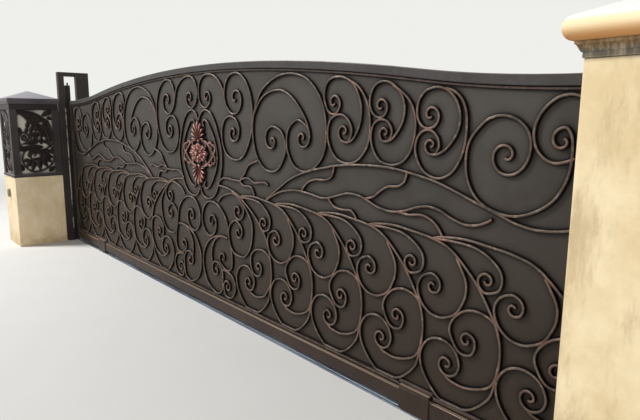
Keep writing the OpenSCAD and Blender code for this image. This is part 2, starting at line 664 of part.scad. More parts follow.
// Right pier, with a moulded neck and a bullnosed cap
right_x = right_pier_x;
neck_low = right_pier_h + 14;
neck_mid = right_pier_h + 32;
neck_top = right_pier_h + 40;
module right_box(z0, z1, grow = 0) { pier_box(right_x, right_pier_w, z0, z1, grow, right_pier_d); }
module pier_right() { color(stucco) right_box(0, right_pier_h); }
module pier_right_neck() {
    color(stucco) {
        right_box(right_pier_h, neck_low, 2);
        hull() {
            right_box(neck_low, neck_low + 1, 5);
            right_box(neck_mid - 1, neck_mid, 14);
        }
        right_box(neck_mid, neck_top, 17);
    }
}
module pier_right_cap() {
    roll = 31;
    color(stucco) translate([right_x + right_pier_w / 2, pier_y + right_pier_d / 2, neck_top]) hull() {
        for (x = [-1, 1], y = [-1, 1])
            translate([x * (right_pier_w / 2 + 17), y * (right_pier_d / 2 + 17), roll])
                sphere(roll, $fn = 24);
        translate([0, 0, 2 * roll + 50]) cube([200, 200, 20], center = true);
    }
}

pier_left();
lantern_base();
lantern_posts();
lantern_frieze();
lantern_cap();
lantern_panes();
grille_street();
grille_jamb();
grille_yard();
grille_outer();
gate_sensor();
goal_posts();
goal_header();
goal_stop_bar();
goal_guide_channel();
far_goal_posts();
far_goal_header();
far_goal_guides();
pier_right();
pier_right_neck();
pier_right_cap();
track();
track_stops();
top_rail();
bottom_rail();
stile_left();
stile_right();
sheet();
top_moulding();
bottom_moulding();
rear_stiffeners();
wheel_housing_left();
wheel_housing_right();
wheel_left();
wheel_right();
oval_surround();
medallion_rosette();
medallion_palmettes();
medallion_wings();
centre_scrolls();
feather_scrolls_left();
feather_scrolls_right();
upper_scrolls_left();
upper_scrolls_right();
tendrils_left();
tendrils_right();
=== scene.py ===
import bmesh
import bpy
import json
import math
from mathutils import Matrix, Vector, kdtree


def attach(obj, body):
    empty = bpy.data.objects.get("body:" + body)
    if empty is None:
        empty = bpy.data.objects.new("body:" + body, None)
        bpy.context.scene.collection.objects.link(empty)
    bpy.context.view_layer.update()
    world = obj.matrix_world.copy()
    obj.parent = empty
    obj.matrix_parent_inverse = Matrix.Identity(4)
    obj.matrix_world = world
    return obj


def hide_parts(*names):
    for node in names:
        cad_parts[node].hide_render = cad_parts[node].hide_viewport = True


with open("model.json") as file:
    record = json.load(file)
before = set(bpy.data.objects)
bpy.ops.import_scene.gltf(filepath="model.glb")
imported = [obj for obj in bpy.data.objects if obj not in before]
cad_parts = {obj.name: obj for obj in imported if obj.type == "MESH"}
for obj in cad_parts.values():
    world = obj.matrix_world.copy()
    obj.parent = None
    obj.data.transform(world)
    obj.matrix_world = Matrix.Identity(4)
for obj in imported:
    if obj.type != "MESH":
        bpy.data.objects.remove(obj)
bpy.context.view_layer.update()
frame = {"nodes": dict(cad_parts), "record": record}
nodes = frame["nodes"]


# ---- camera: solved from the scrollwork's mirrored halves in the photograph
def photo_camera():
    eye = Vector((3.719, -2.030, 1.470))
    yaw, pitch, roll = math.radians(49.283), math.radians(9.676), math.radians(0.367)
    look = Vector((-math.sin(yaw) * math.cos(pitch), math.cos(yaw) * math.cos(pitch), -math.sin(pitch)))
    right = look.cross(Vector((0, 0, 1))).normalized()
    up = right.cross(look)
    across = math.cos(roll) * right + math.sin(roll) * up
    upward = -math.sin(roll) * right + math.cos(roll) * up
    cam = bpy.data.objects.new("photo_camera", bpy.data.cameras.new("photo_camera"))
    cam.data.lens = 30.93
    cam.data.sensor_width = 36
    cam.data.clip_start = 0.05
    cam.data.clip_end = 200
    cam.matrix_world = Matrix.Translation(eye) @ Matrix((across, upward, -look)).transposed().to_4x4()
    bpy.context.scene.collection.objects.link(cam)
    bpy.context.scene.camera = cam


photo_camera()


# ---- node helpers
def hex_colour(code):
    """An sRGB hex colour as linear RGBA."""
    parts = [int(code[i:i + 2], 16) / 255 for i in (1, 3, 5)]
    return [c / 12.92 if c <= 0.04045 else ((c + 0.055) / 1.055) ** 2.4 for c in parts] + [1.0]


def add(tree, kind, settings=None, **inputs):
    """One node with its settings, and its inputs set or linked by name, or by number as i0, i1."""
    node = tree.nodes.new(kind)
    for key, value in (settings or {}).items():
        setattr(node, key, value)
    for key, value in inputs.items():
        numbered = key[0] == "i" and key[1:].isdigit()
        socket = node.inputs[int(key[1:])] if numbered else node.inputs[key.replace("_", " ")]
        if isinstance(value, bpy.types.NodeSocket):
            tree.links.new(value, socket)
        elif isinstance(value, str) and value.startswith("#"):
            socket.default_value = hex_colour(value)
        else:
            socket.default_value = value
    return node


def span(tree, value, low, high, to_low=0.0, to_high=1.0):
    """A smooth change from to_low where the value is low to to_high where it is high."""
    return add(tree, "ShaderNodeMapRange", {"interpolation_type": "SMOOTHSTEP"}, Value=value,
               From_Min=low, From_Max=high, To_Min=to_low, To_Max=to_high).outputs[0]


def maths(tree, operation, *values):
    return add(tree, "ShaderNodeMath", {"operation": operation},
               **{"i%d" % i: value for i, value in enumerate(values)}).outputs[0]


def mix(tree, amount, first, second):
    return add(tree, "ShaderNodeMix", {"data_type": "RGBA"}, i0=amount, i6=first, i7=second).outputs[2]


# ---- materials: each starts from the real finish. A pattern's size is in millimetres, written as
# a metre over the number of marks that fit in it.
COAT_PATCH = 1000 / 3       # 333 mm, where one brushed coat of enamel laps the next
BRUSH_MARK = 1000 / 45      # 22 mm, the width of a brush, with its drags and worn places
PAINT_GRAIN = 1000 / 160    # 6 mm for orange peel of 1 to 2 mm, drawn coarser so that it shows
WAX_PATCH = 1000 / 11       # 91 mm, as far as one rub of the waxed cloth goes
WAX_GLINT_SPOT = 1000 / 38        # 26 mm, touches of brighter wax that are painted highlights too
HAMMER_GRAIN = 1000 / 120   # 8 mm, dents left by a hammer's face
WALL_CLOUD = 1000 / 4       # 250 mm, uneven drying of the render
TROWEL_SMEAR = 1000 / 8     # 125 mm, one pass of the float, three times as tall as wide
SPLASH_BLOTCH = 1000 / 12   # 83 mm, dirt splashed up at the foot
SOOT_STREAK = 1000 / 60     # 17 mm, runs of water under the cap, ten times as tall as wide
TROWEL_LUMP = 1000 / 60     # 17 mm, lumps left by the float
SAND_GRAIN = 1000 / 420     # 2.4 mm, the sand in the render
CAST_CLOUD = 1000 / 40      # 25 mm, wax caught unevenly on the cast relief
CAST_GRAIN = 1000 / 220     # 4.5 mm for moulding sand of 0.5 mm, drawn coarser so that it shows
ZINC_CLOUD = 1000 / 8       # 125 mm, dull and bright patches of zinc, drawn out along the track
ZINC_GRAIN = 1000 / 90      # 11 mm, spangle
PANE_HAZE = 1000 / 6        # 167 mm, unevenness of the opal sheet
PANE_GRAIN = 1000 / 240     # 4 mm for frosting of under 1 mm, drawn coarser so that it shows
PLASTIC_CLOUD = 1000 / 30   # 33 mm, flow marks of moulding
PLASTIC_GRAIN = 1000 / 500  # 2 mm for matt grain of 0.3 mm, drawn coarser so that it shows
FLOOR_CLOUD = 1000 / 2      # 500 mm, the floor's faint unevenness


def new_material(name):
    mat = bpy.data.materials.new(name)
    mat.use_nodes = True
    tree = mat.node_tree
    tree.nodes.clear()
    out = add(tree, "ShaderNodeOutputMaterial")
    shader = add(tree, "ShaderNodeBsdfPrincipled")
    tree.links.new(shader.outputs[0], out.inputs[0])
    place = add(tree, "ShaderNodeTexCoord").outputs["Object"]
    return mat, tree, shader, place


def set_shader(tree, shader, colour, roughness, **constants):
    """Links or sets the shader's colour and roughness, and sets what is the same all over."""
    tree.links.new(colour, shader.inputs["Base Color"])
    if isinstance(roughness, bpy.types.NodeSocket):
        tree.links.new(roughness, shader.inputs["Roughness"])
    else:
        shader.inputs["Roughness"].default_value = roughness
    for label, value in constants.items():
        shader.inputs[label.replace("_", " ")].default_value = value


def noise(tree, place, size_mm, detail=4.0, rough=0.55, stretch=None):
    if stretch:
        place = add(tree, "ShaderNodeMapping", Vector=place, Scale=stretch).outputs[0]
    return add(tree, "ShaderNodeTexNoise", Vector=place, Scale=1000 / size_mm, Detail=detail,
               Roughness=rough).outputs["Fac"]


def bump(tree, shader, height, strength, depth_mm):
    node = add(tree, "ShaderNodeBump", Height=height, Strength=strength, Distance=depth_mm / 1000)
    tree.links.new(node.outputs[0], shader.inputs["Normal"])


def facing(tree, axis):
    """How far a face looks along one axis, from -1 to 1."""
    normal = add(tree, "ShaderNodeNewGeometry").outputs["Normal"]
    return add(tree, "ShaderNodeSeparateXYZ", Vector=normal).outputs[axis]


def height_of(tree, place):
    return add(tree, "ShaderNodeSeparateXYZ", Vector=place).outputs[2]


def enclosed(tree, reach_mm, open_at, deep_at):
    """0 on open surfaces and 1 in corners, where neighbours within reach hide the sky."""
    sky = add(tree, "ShaderNodeAmbientOcclusion", {"samples": 6}, Distance=reach_mm / 1000).outputs["AO"]
    return span(tree, sky, open_at, deep_at)


def painted_steel(name, base, shade, worn, roughness, low=None, corner_shade=None, dust_and_sheen=None):
    """Brushed-on satin enamel over mild steel: cloudy, paler on top with dust and a painted sheen, on the
    sheet browner and darker below, and painted near black as shade in the corners beside the bars."""
    mat, tree, shader, place = new_material(name)
    colour = mix(tree, span(tree, noise(tree, place, COAT_PATCH, 5.0), 0.35, 0.68), base, shade)
    if low:
        colour = mix(tree, span(tree, height_of(tree, place), 1.35, 0.35), colour, low)
    marks = noise(tree, place, BRUSH_MARK, 6.0, 0.65)
    colour = mix(tree, span(tree, marks, 0.55, 0.8, 0.0, 0.3), colour, worn)
    # Painted shade: near black in corners and beside the bars, where neighbours hide the sky.
    if corner_shade:
        colour = mix(tree, enclosed(tree, 38, 0.98, 0.58), colour, corner_shade)
    # Upward faces paler: dust on them, and a painted sheen of the sky as well.
    if dust_and_sheen:
        colour = mix(tree, span(tree, facing(tree, 2), 0.3, 0.9, 0.0, 0.85), colour, dust_and_sheen)
    set_shader(tree, shader, colour, span(tree, marks, 0.3, 0.75, roughness - 0.08, roughness + 0.14),
           Metallic=0.2, Specular_IOR_Level=0.2)
    bump(tree, shader, noise(tree, place, PAINT_GRAIN), 0.25, 0.6)
    return mat


def rubbed_bars(name, dark, front, glint, weld):
    """Forged bars painted near black, with bronze wax rubbed on their fronts and red at the welds. The
    near-black sides are also painted shade, and the bright spots on the fronts also painted highlights.
    """
    mat, tree, shader, place = new_material(name)
    # Fronts lighter than the near-black sides: wax on the fronts, and painted shade on the sides.
    frontal = maths(tree, "ABSOLUTE", facing(tree, 1))
    patches = span(tree, noise(tree, place, WAX_PATCH, 4.0, 0.6), 0.32, 0.62, 0.45, 1.0)
    waxed_and_lit_front = maths(tree, "MULTIPLY", span(tree, frontal, 0.55, 0.97), patches)
    colour = mix(tree, waxed_and_lit_front, dark, front)
    # Brighter spots on the fronts: wax, and painted highlights.
    spots = maths(tree, "MULTIPLY", span(tree, noise(tree, place, WAX_GLINT_SPOT, 5.0, 0.65), 0.5, 0.7), waxed_and_lit_front)
    colour = mix(tree, maths(tree, "MULTIPLY", spots, 0.7), colour, glint)
    near_weld = add(tree, "ShaderNodeAttribute", {"attribute_name": "weld"}).outputs["Fac"]
    reddened = maths(tree, "MULTIPLY", maths(tree, "MULTIPLY", near_weld, 0.45), waxed_and_lit_front)
    set_shader(tree, shader, mix(tree, reddened, colour, weld), span(tree, spots, 0.0, 1.0, 0.46, 0.32),
           Metallic=0.3, Specular_IOR_Level=0.25)
    bump(tree, shader, noise(tree, place, HAMMER_GRAIN), 0.35, 0.8)
    return mat


SPLASH_TOP = 0.22
CAP_SHADOW, BAND_CHANGE = (1.600, 1.618), (1.630, 1.640)


def stucco(name, base, pale, stain, low_stain=0.75, soot_and_shadow=None, smears=0.0, underside=None):
    """Sand-finished cement render: gritty and cloudy, smeared by the float, splashed at the foot, and darker
    under the cap with soot streaks and painted shadow. The cap itself is painted pale on top where light
    falls and warm with painted bounced light below."""
    mat, tree, shader, place = new_material(name)
    cloud = noise(tree, place, WALL_CLOUD, 6.0, 0.62)
    colour = mix(tree, span(tree, cloud, 0.35, 0.66, 0.0, 0.2 if underside else 1.0), base, pale)
    smear = noise(tree, place, TROWEL_SMEAR, 6.0, 0.7, (1.0, 1.0, 0.3))
    colour = mix(tree, span(tree, smear, 0.47, 0.68, 0.0, smears), colour, stain)
    height = height_of(tree, place)
    blotch = span(tree, noise(tree, place, SPLASH_BLOTCH), 0.3, 0.7, 0.2, low_stain)
    splash = maths(tree, "MULTIPLY", span(tree, height, SPLASH_TOP, 0.0), blotch)
    colour = mix(tree, splash, colour, stain)
    # Under the cap: soot streaks over a painted shadow that darkens the whole band.
    if soot_and_shadow:
        runs = noise(tree, place, SOOT_STREAK, 3.0, 0.6, (1.0, 1.0, 0.1))
        streaks = span(tree, runs, 0.3, 0.62, 0.62, 0.95)
        under_cap = maths(tree, "MULTIPLY", span(tree, height, *CAP_SHADOW), streaks)
        colour = mix(tree, under_cap, colour, mix(tree, span(tree, height, *BAND_CHANGE), *soot_and_shadow))
    # Painted light on the cap: paler on top, warm with bounced light underneath.
    if underside:
        colour = mix(tree, span(tree, facing(tree, 2), 0.3, -0.8), colour, underside)
        colour = mix(tree, span(tree, facing(tree, 2), 0.3, 0.85), colour, pale)
    grain = noise(tree, place, SAND_GRAIN, 3.0, 0.7)
    colour = mix(tree, span(tree, grain, 0.45, 0.8, 0.0, 0.2), colour, stain)
    set_shader(tree, shader, colour, 0.9, Specular_IOR_Level=0.25)
    lumps = maths(tree, "MULTIPLY", noise(tree, place, TROWEL_LUMP, 4.0, 0.6), 0.6)
    trowelled = maths(tree, "ADD", lumps, maths(tree, "MULTIPLY", smear, 3.0 * smears))
    bump(tree, shader, maths(tree, "ADD", trowelled, grain), 0.5, 1.6)
    return mat


def rubbed_copper(name, wash, body, pale_body, lit):
    """Cast ornament rubbed with copper wax on its ridges, with dark wash left in its hollows and a
    painted highlight on its crests.
    """
    mat, tree, shader, place = new_material(name)
    cloud = noise(tree, place, CAST_CLOUD)
    ridge = add(tree, "ShaderNodeAttribute", {"attribute_name": "ridge"}).outputs["Fac"]
    waxed = mix(tree, span(tree, cloud, 0.35, 0.65), body, pale_body)
    colour = mix(tree, span(tree, ridge, 0.3, 0.7), wash, waxed)
    # A painted highlight on the crests of the relief.
    crest = maths(tree, "MULTIPLY", span(tree, ridge, 0.68, 0.97), span(tree, cloud, 0.3, 0.6, 0.5, 1.0))
    set_shader(tree, shader, mix(tree, crest, colour, lit), span(tree, cloud, 0.3, 0.7, 0.34, 0.55),
               Metallic=0.35)
    bump(tree, shader, noise(tree, place, CAST_GRAIN, 3.0), 0.3, 0.6)
    return mat


def worn_galvanised(name, base, scuff):
    """Hot-dip galvanised steel, polished by the wheels along its length and dull elsewhere."""
    mat, tree, shader, place = new_material(name)
    cloud = noise(tree, place, ZINC_CLOUD, 5.0, 0.6, (0.2, 1.0, 1.0))
    colour = mix(tree, span(tree, cloud, 0.35, 0.65), base, scuff)
    set_shader(tree, shader, colour, span(tree, cloud, 0.3, 0.7, 0.38, 0.6), Metallic=0.8)
    bump(tree, shader, noise(tree, place, ZINC_GRAIN), 0.2, 0.5)
    return mat


def frosted_pane(name, base, cloud, shade_behind_bars):
    """Opal acrylic sheet, a little cloudy, with painted shade behind the bars, that passes some light."""
    mat, tree, shader, place = new_material(name)
    clean = mix(tree, noise(tree, place, PANE_HAZE, 3.0), base, cloud)
    # Painted shade: darker where the bars close in over the pane.
    set_shader(tree, shader, mix(tree, enclosed(tree, 60, 0.72, 0.4), clean, shade_behind_bars), 0.6,
           Subsurface_Weight=0.3, Subsurface_Radius=(0.01, 0.01, 0.01))
    bump(tree, shader, noise(tree, place, PANE_GRAIN, 2.0), 0.15, 0.3)
    return mat


def moulded_plastic(name, base, shade):
    """Moulded polyamide with a fine matt grain."""
    mat, tree, shader, place = new_material(name)
    set_shader(tree, shader, mix(tree, noise(tree, place, PLASTIC_CLOUD, 3.0), base, shade), 0.5)
    bump(tree, shader, noise(tree, place, PLASTIC_GRAIN, 2.0), 0.2, 0.3)
    return mat


# The backing sheet: neutral bronze enamel above, browner and darker towards the bottom, and painted shade
# near black beside the bars
sheet_paint = painted_steel("sheet_steel_bronze_paint", "#484440", "#3E3A36", "#5A534E", 0.48,
                            low="#382F28", corner_shade="#080402")
# Tubes: the same enamel, greyer high up, browner by the ground, and paler where they face up, with dust and a
# painted sheen of the sky
frame_paint = painted_steel("frame_tube_dark_paint", "#474443", "#3E3B3A", "#6C6764", 0.4, dust_and_sheen="#888072")
rail_paint = painted_steel("bottom_rail_dark_paint", "#372C26", "#42362F", "#63544B", 0.44, dust_and_sheen="#8F7D6C")
goal_paint = painted_steel("goal_post_paint", "#3B3532", "#312B29", "#5C5552", 0.45, dust_and_sheen="#8E8C92")
shaded_goal_paint = painted_steel("goal_post_inner_shaded_paint", "#262120", "#1F1B1A", "#3C3735", 0.5)
# Lantern ironwork: violet-grey enamel; the cap is a paler copy, painted light where it is lit, and the frieze
# under its eaves a darker copy, painted shade
lantern_paint = painted_steel("lantern_iron_paint", "#433D3D", "#393435", "#625C5D", 0.52, dust_and_sheen="#8E8C92")
# A paler copy of the lantern paint: painted light on the cap.
cap_paint = painted_steel("lantern_cap_lit_dusty_paint", "#585254", "#4A4547", "#7A7475", 0.4, dust_and_sheen="#8E8C92")
frieze_paint = painted_steel("lantern_frieze_shaded_paint", "#322C2B", "#2A2524", "#4E4846", 0.45)
# Forged bars, mouldings and wings: dark sides partly painted shade, waxed fronts with painted highlights, and
# redder welds, which draw the pattern
bar_paint = rubbed_bars("forged_bar_rubbed_bronze", "#0D0704", "#665A50", "#A4907F", "#7C5546")
wing_paint = rubbed_bars("cast_wing_rubbed_copper", "#140A07", "#785C52", "#E2C4B8", "#84564A")
moulding_paint = rubbed_bars("moulding_rubbed_bronze", "#2A2320", "#564943", "#7A6A61", "#564943")
panel_paint = rubbed_bars("lantern_panel_rubbed_bronze", "#251D1B", "#62544D", "#7E6E66", "#54423D")
# A darker copy of the panel paint: painted shade on the street side's grille.
street_panel_shaded_paint = rubbed_bars("lantern_street_panel_shaded_rubbed_bronze", "#1C1514", "#443935", "#5A4E49",
                                 "#3C2E2A")
# The medallion: the one warm red, brightest on its ridges, where a highlight is painted
copper_cast = rubbed_copper("cast_medallion_rubbed_copper", "#180B09", "#6C3225", "#884F40", "#DFB4A4")
# Masonry: warm sand-coloured render; the right pier smeared, with soot and painted shadow under its cream
# cap, which is painted pale on top and warm with bounced light below
low_stucco = stucco("left_pier_sand_render", "#DAC49E", "#E8D5B4", "#B49A72", smears=0.25)
tall_stucco = stucco("right_pier_sand_render", "#DDC69A", "#F0DDB6", "#B29A74", 0.5,
                     soot_and_shadow=("#55514C", "#6E5134"), smears=0.6)
cap_stucco = stucco("right_cap_sand_render", "#FBE2B0", "#FFFDF4", "#E6BE86", 0.5, underside="#C8935C")
# Bare metal: cold blue-grey track, turned wheels, and a pale strip by the goal post that paints a highlight
track_steel = worn_galvanised("track_galvanised_steel", "#6E7884", "#8A949E")
wheel_steel = worn_galvanised("turned_wheel_steel", "#77787A", "#97989A")
# Near white: a painted highlight on the goal post's edge.
highlight_zinc = worn_galvanised("goal_post_edge_highlight_zinc", "#E2DFD6", "#2C2724")
# Plastics: pale guides, a dull olive shell on the low pier, and milky panes behind the ironwork
guide_nylon = moulded_plastic("guide_nylon", "#C9C6BC", "#B8B4A8")
sensor_shell = moulded_plastic("sensor_shell_plastic", "#7E7459", "#6E654D")
opal_acrylic = frosted_pane("lantern_opal_acrylic", "#BEB8A8", "#D2CDBF", "#1E1A18")


# ---- routes of the forged bars, in millimetres in the leaf's plane: the same as in the part's source,
# but END_RING runs 30 mm further here, to meet the long stem
def slide_point(p, q, r, s, t):
    """The point at t between q and r on the smooth curve through p, q, r and s."""
    return tuple(0.5 * (2 * q[i] + (r[i] - p[i]) * t + (2 * p[i] - 5 * q[i] + 4 * r[i] - s[i]) * t * t
                        + (3 * q[i] - p[i] - 3 * r[i] + s[i]) * t ** 3) for i in (0, 1))


def smooth(k, step=7.0):
    """A smooth run through given points, with a point about every step."""
    last = len(k) - 1
    run = []
    for i in range(last):
        n = max(1, round(math.dist(k[i], k[i + 1]) / step))
        run += [slide_point(k[max(i - 1, 0)], k[i], k[i + 1], k[min(i + 2, last)], j / n) for j in range(n)]
    return run + [tuple(k[last])]


def coil(eye, start, turns, ease=1.3, tip=9):
    """Ten points a turn that wind in from a start point round an eye, to tip millimetres from it."""
    dx, dy = start[0] - eye[0], start[1] - eye[1]
    reach, angle, count = math.hypot(dx, dy), math.atan2(dy, dx), math.ceil(abs(turns) * 10)
    out = []
    for i in range(1, count + 1):
        t = i / count
        q, b = tip + (reach - tip) * (1 - t) ** ease, angle + 2 * math.pi * turns * t
        out.append((eye[0] + q * math.cos(b), eye[1] + q * math.sin(b)))
    return out


def scroll(k, eye, turns, ease=1.3):
    """A bar through points that ends in one eye."""
    return list(k) + coil(eye, k[-1], turns, ease)


def s_scroll(near_eye, near_turns, k, eye, turns, near_ease=1.3, ease=1.3):
    """A bar through points with an eye at each end."""
    return coil(near_eye, k[0], near_turns, near_ease)[::-1] + scroll(k, eye, turns, ease)


# Lower scrollwork, repeated along each side at one pitch
STEM = ((532, 918), (590, 934), (712, 944), (832, 934), (952, 918), (1052, 884), (1156, 796), (1218, 722),
    (1268, 645), (1302, 586), (1322, 500), (1318, 402), (1292, 330), (1240, 290), (1155, 264),
    (1082, 270), (1052, 285))
HOOK = scroll(((532, 918), (632, 924), (752, 918), (832, 888), (888, 840), (900, 790), (882, 750),
    (832, 730)), (828, 782), -1.3)
FAN = scroll(((1082, 854), (1134, 764), (1140, 702), (1124, 650), (1092, 596), (1040, 564), (998, 554),
    (944, 564), (892, 607), (871, 670), (892, 724), (944, 752)), (958, 696), -1.2)
CREST = scroll(((1316, 540), (1292, 602), (1252, 628), (1192, 636), (1132, 618), (1082, 570), (1063, 518),
    (1082, 466), (1112, 429), (1150, 418), (1186, 434), (1200, 471)), (1155, 487), 1.15)
WAVE = scroll(((1322, 440), (1297, 298), (1260, 234), (1197, 176), (1134, 150), (1082, 145), (1018, 161),
    (955, 214), (913, 276), (902, 340), (918, 392), (955, 434), (1008, 452), (1060, 445), (1102, 414),
    (1124, 360), (1110, 314), (1076, 290)), (1054, 341), -1.15)
# Lower scrollwork beside the medallion
FIRST_STEM = ((262, 975), (320, 974), (406, 965), (490, 944), (552, 923), (594, 896), (658, 860),
    (720, 818), (784, 764), (826, 722), (868, 660), (894, 576), (912, 470), (905, 402), (878, 350),
    (836, 298), (794, 276), (732, 262), (678, 270), (646, 285))
FIRST_CREST = scroll(((903, 545), (884, 571), (847, 592), (794, 600), (732, 587), (684, 550), (672, 508),
    (678, 460), (700, 424), (742, 408), (779, 424), (796, 456)), (761, 474), 1.1)
BROW = scroll(((258, 858), (320, 904), (426, 934), (490, 934), (552, 902), (590, 862), (594, 818),
    (566, 776)), (520, 820), -1.25)
PURSE = scroll(((588, 880), (646, 824), (690, 764), (694, 680), (668, 586), (605, 518), (532, 504),
    (462, 514), (412, 566), (394, 638), (404, 690), (430, 722), (490, 752), (552, 722)),
    (521, 672), -1.25, 1.5)
HEART = s_scroll((158, 696), 1.1, ((221, 702), (212, 640), (170, 596), (110, 584), (58, 610), (26, 654),
    (16, 702), (26, 754), (58, 804), (110, 838), (163, 846), (226, 840), (290, 810), (342, 765),
    (374, 715), (390, 655), (400, 600), (424, 530), (434, 470), (430, 410), (400, 372), (342, 364),
    (290, 390)), (305, 445), -1.1)
LOBE = scroll(((376, 602), (310, 608), (226, 596), (120, 550), (50, 476), (16, 390), (30, 290), (80, 210),
    (180, 160), (250, 166), (292, 210), (300, 270), (296, 340), (260, 388), (205, 400)), (202, 334), 1.15)
INNER_LOBE = ((330, 608), (250, 596), (190, 553), (154, 498), (144, 440), (152, 385))
DROP = scroll(((300, 356), (374, 352), (440, 326), (472, 256), (440, 190), (380, 162), (330, 178),
    (310, 230)), (363, 240), -1.3)
# Oval round the medallion
OVAL_OUTER = ((6, 1436), (20, 1462), (58, 1498), (110, 1510), (174, 1489), (226, 1438), (268, 1365),
    (302, 1280), (322, 1218), (322, 1144), (305, 1060), (268, 976), (226, 912), (174, 874), (110, 862),
    (58, 872), (22, 902), (6, 932))
OVAL_INNER = s_scroll((84, 1404), 0.6, ((102, 1437), (140, 1416), (184, 1365), (226, 1302), (256, 1218),
    (260, 1154), (242, 1091), (205, 1028), (152, 965), (104, 938)), (84, 970), -0.6)
# Upper scrollwork
CROWN_SCROLL = scroll(((372, 1600), (362, 1634), (340, 1670), (300, 1710), (236, 1746), (163, 1760),
    (89, 1752), (36, 1712), (14, 1659), (14, 1606), (36, 1560), (74, 1532), (116, 1527), (158, 1546)),
    (130, 1600), 1.25, 1.5)
THREE_SCROLL = s_scroll((510, 1584), 1.25, ((468, 1484), (416, 1519), (384, 1564), (374, 1617),
    (390, 1680), (436, 1733), (500, 1750), (563, 1742), (636, 1696), (684, 1628), (708, 1554),
    (716, 1470), (705, 1376), (668, 1292), (616, 1218), (552, 1180), (490, 1174), (426, 1186),
    (374, 1222), (340, 1280), (332, 1334), (340, 1386), (364, 1434), (410, 1462), (462, 1464),
    (520, 1440), (552, 1390), (546, 1336)), (480, 1356), -1.2, 1.5)
ARCH_SCROLL = s_scroll((926, 1318), 1.3, ((984, 1396), (1036, 1365), (1066, 1286), (1040, 1204),
    (963, 1134), (847, 1138), (752, 1228), (716, 1365), (742, 1502), (826, 1628), (984, 1702),
    (1142, 1712), (1290, 1664), (1400, 1544), (1436, 1386), (1406, 1249), (1290, 1158), (1163, 1170),
    (1084, 1270), (1092, 1386), (1179, 1447), (1268, 1412)), (1225, 1345), -1.35, 1.4, 1.4)
INNER_ARCH = ((735, 1480), (774, 1533), (816, 1575), (878, 1606), (952, 1622), (1026, 1622), (1100, 1596),
    (1163, 1554), (1216, 1502), (1258, 1449), (1284, 1400))
PAIR_SHORT = s_scroll((1496, 1542), 1.2, ((1494, 1480), (1452, 1498), (1425, 1544), (1418, 1591),
    (1438, 1644), (1479, 1670), (1536, 1676), (1594, 1664), (1652, 1628), (1690, 1564), (1705, 1502),
    (1694, 1428), (1652, 1358), (1604, 1334), (1562, 1342)), (1576, 1390), -1.0)
PAIR_LONG = ((1620, 1652), (1679, 1622), (1732, 1564), (1758, 1502), (1768, 1428), (1763, 1354),
    (1732, 1291), (1679, 1244), (1606, 1224), (1532, 1240), (1479, 1286), (1452, 1344), (1449, 1391),
    (1465, 1444), (1510, 1474), (1563, 1478), (1610, 1452), (1636, 1407), (1630, 1364), (1610, 1338))
SECOND_SHORT = s_scroll((1838, 1520), 1.2, ((1832, 1464), (1796, 1478), (1770, 1508), (1764, 1546),
    (1774, 1590), (1800, 1622), (1840, 1638), (1890, 1634), (1940, 1606), (1976, 1562), (1992, 1510),
    (1984, 1452), (1950, 1396), (1908, 1358), (1862, 1350)), (1868, 1391), -1.0)
SECOND_LONG = ((1914, 1618), (1965, 1590), (2016, 1550), (2046, 1500), (2060, 1440), (2054, 1370),
    (2030, 1304), (1984, 1256), (1921, 1238), (1848, 1250), (1800, 1296), (1776, 1360), (1786, 1418),
    (1812, 1446), (1850, 1456), (1890, 1444), (1914, 1410), (1912, 1376), (1892, 1352))
THIRD_SHORT = s_scroll((2144, 1478), 1.2, ((2132, 1418), (2098, 1430), (2074, 1460), (2067, 1500),
    (2078, 1548), (2108, 1582), (2150, 1598), (2196, 1598), (2244, 1578), (2280, 1540), (2300, 1490),
    (2302, 1440), (2284, 1390), (2244, 1338), (2200, 1308), (2158, 1302)), (2152, 1344), -1.0)
THIRD_LONG = ((2224, 1594), (2268, 1580), (2308, 1546), (2332, 1490), (2338, 1420), (2332, 1350),
    (2310, 1286), (2270, 1228), (2206, 1198), (2140, 1210), (2092, 1248), (2064, 1310), (2070, 1366),
    (2096, 1400), (2130, 1412), (2164, 1404), (2190, 1376), (2198, 1340), (2184, 1310))
GREAT_SCROLL = s_scroll((2530, 1317), -1.2, ((2594, 1262), (2626, 1312), (2632, 1376), (2610, 1428),
    (2563, 1465), (2500, 1478), (2436, 1460), (2380, 1407), (2350, 1354), (2342, 1280), (2354, 1207),
    (2390, 1144), (2447, 1102), (2521, 1080), (2594, 1080), (2668, 1107), (2732, 1154), (2768, 1208),
    (2790, 1270), (2796, 1340), (2790, 1400), (2768, 1434)), (2756, 1386), 0.95, 1.1, 1.0)
END_RING = ((2900, 1400), (2896, 1440), (2880, 1484), (2850, 1522), (2810, 1546), (2768, 1554),
    (2720, 1540), (2676, 1502), (2648, 1452), (2642, 1400), (2658, 1350), (2694, 1314), (2736, 1302),
    (2776, 1310), (2806, 1322))
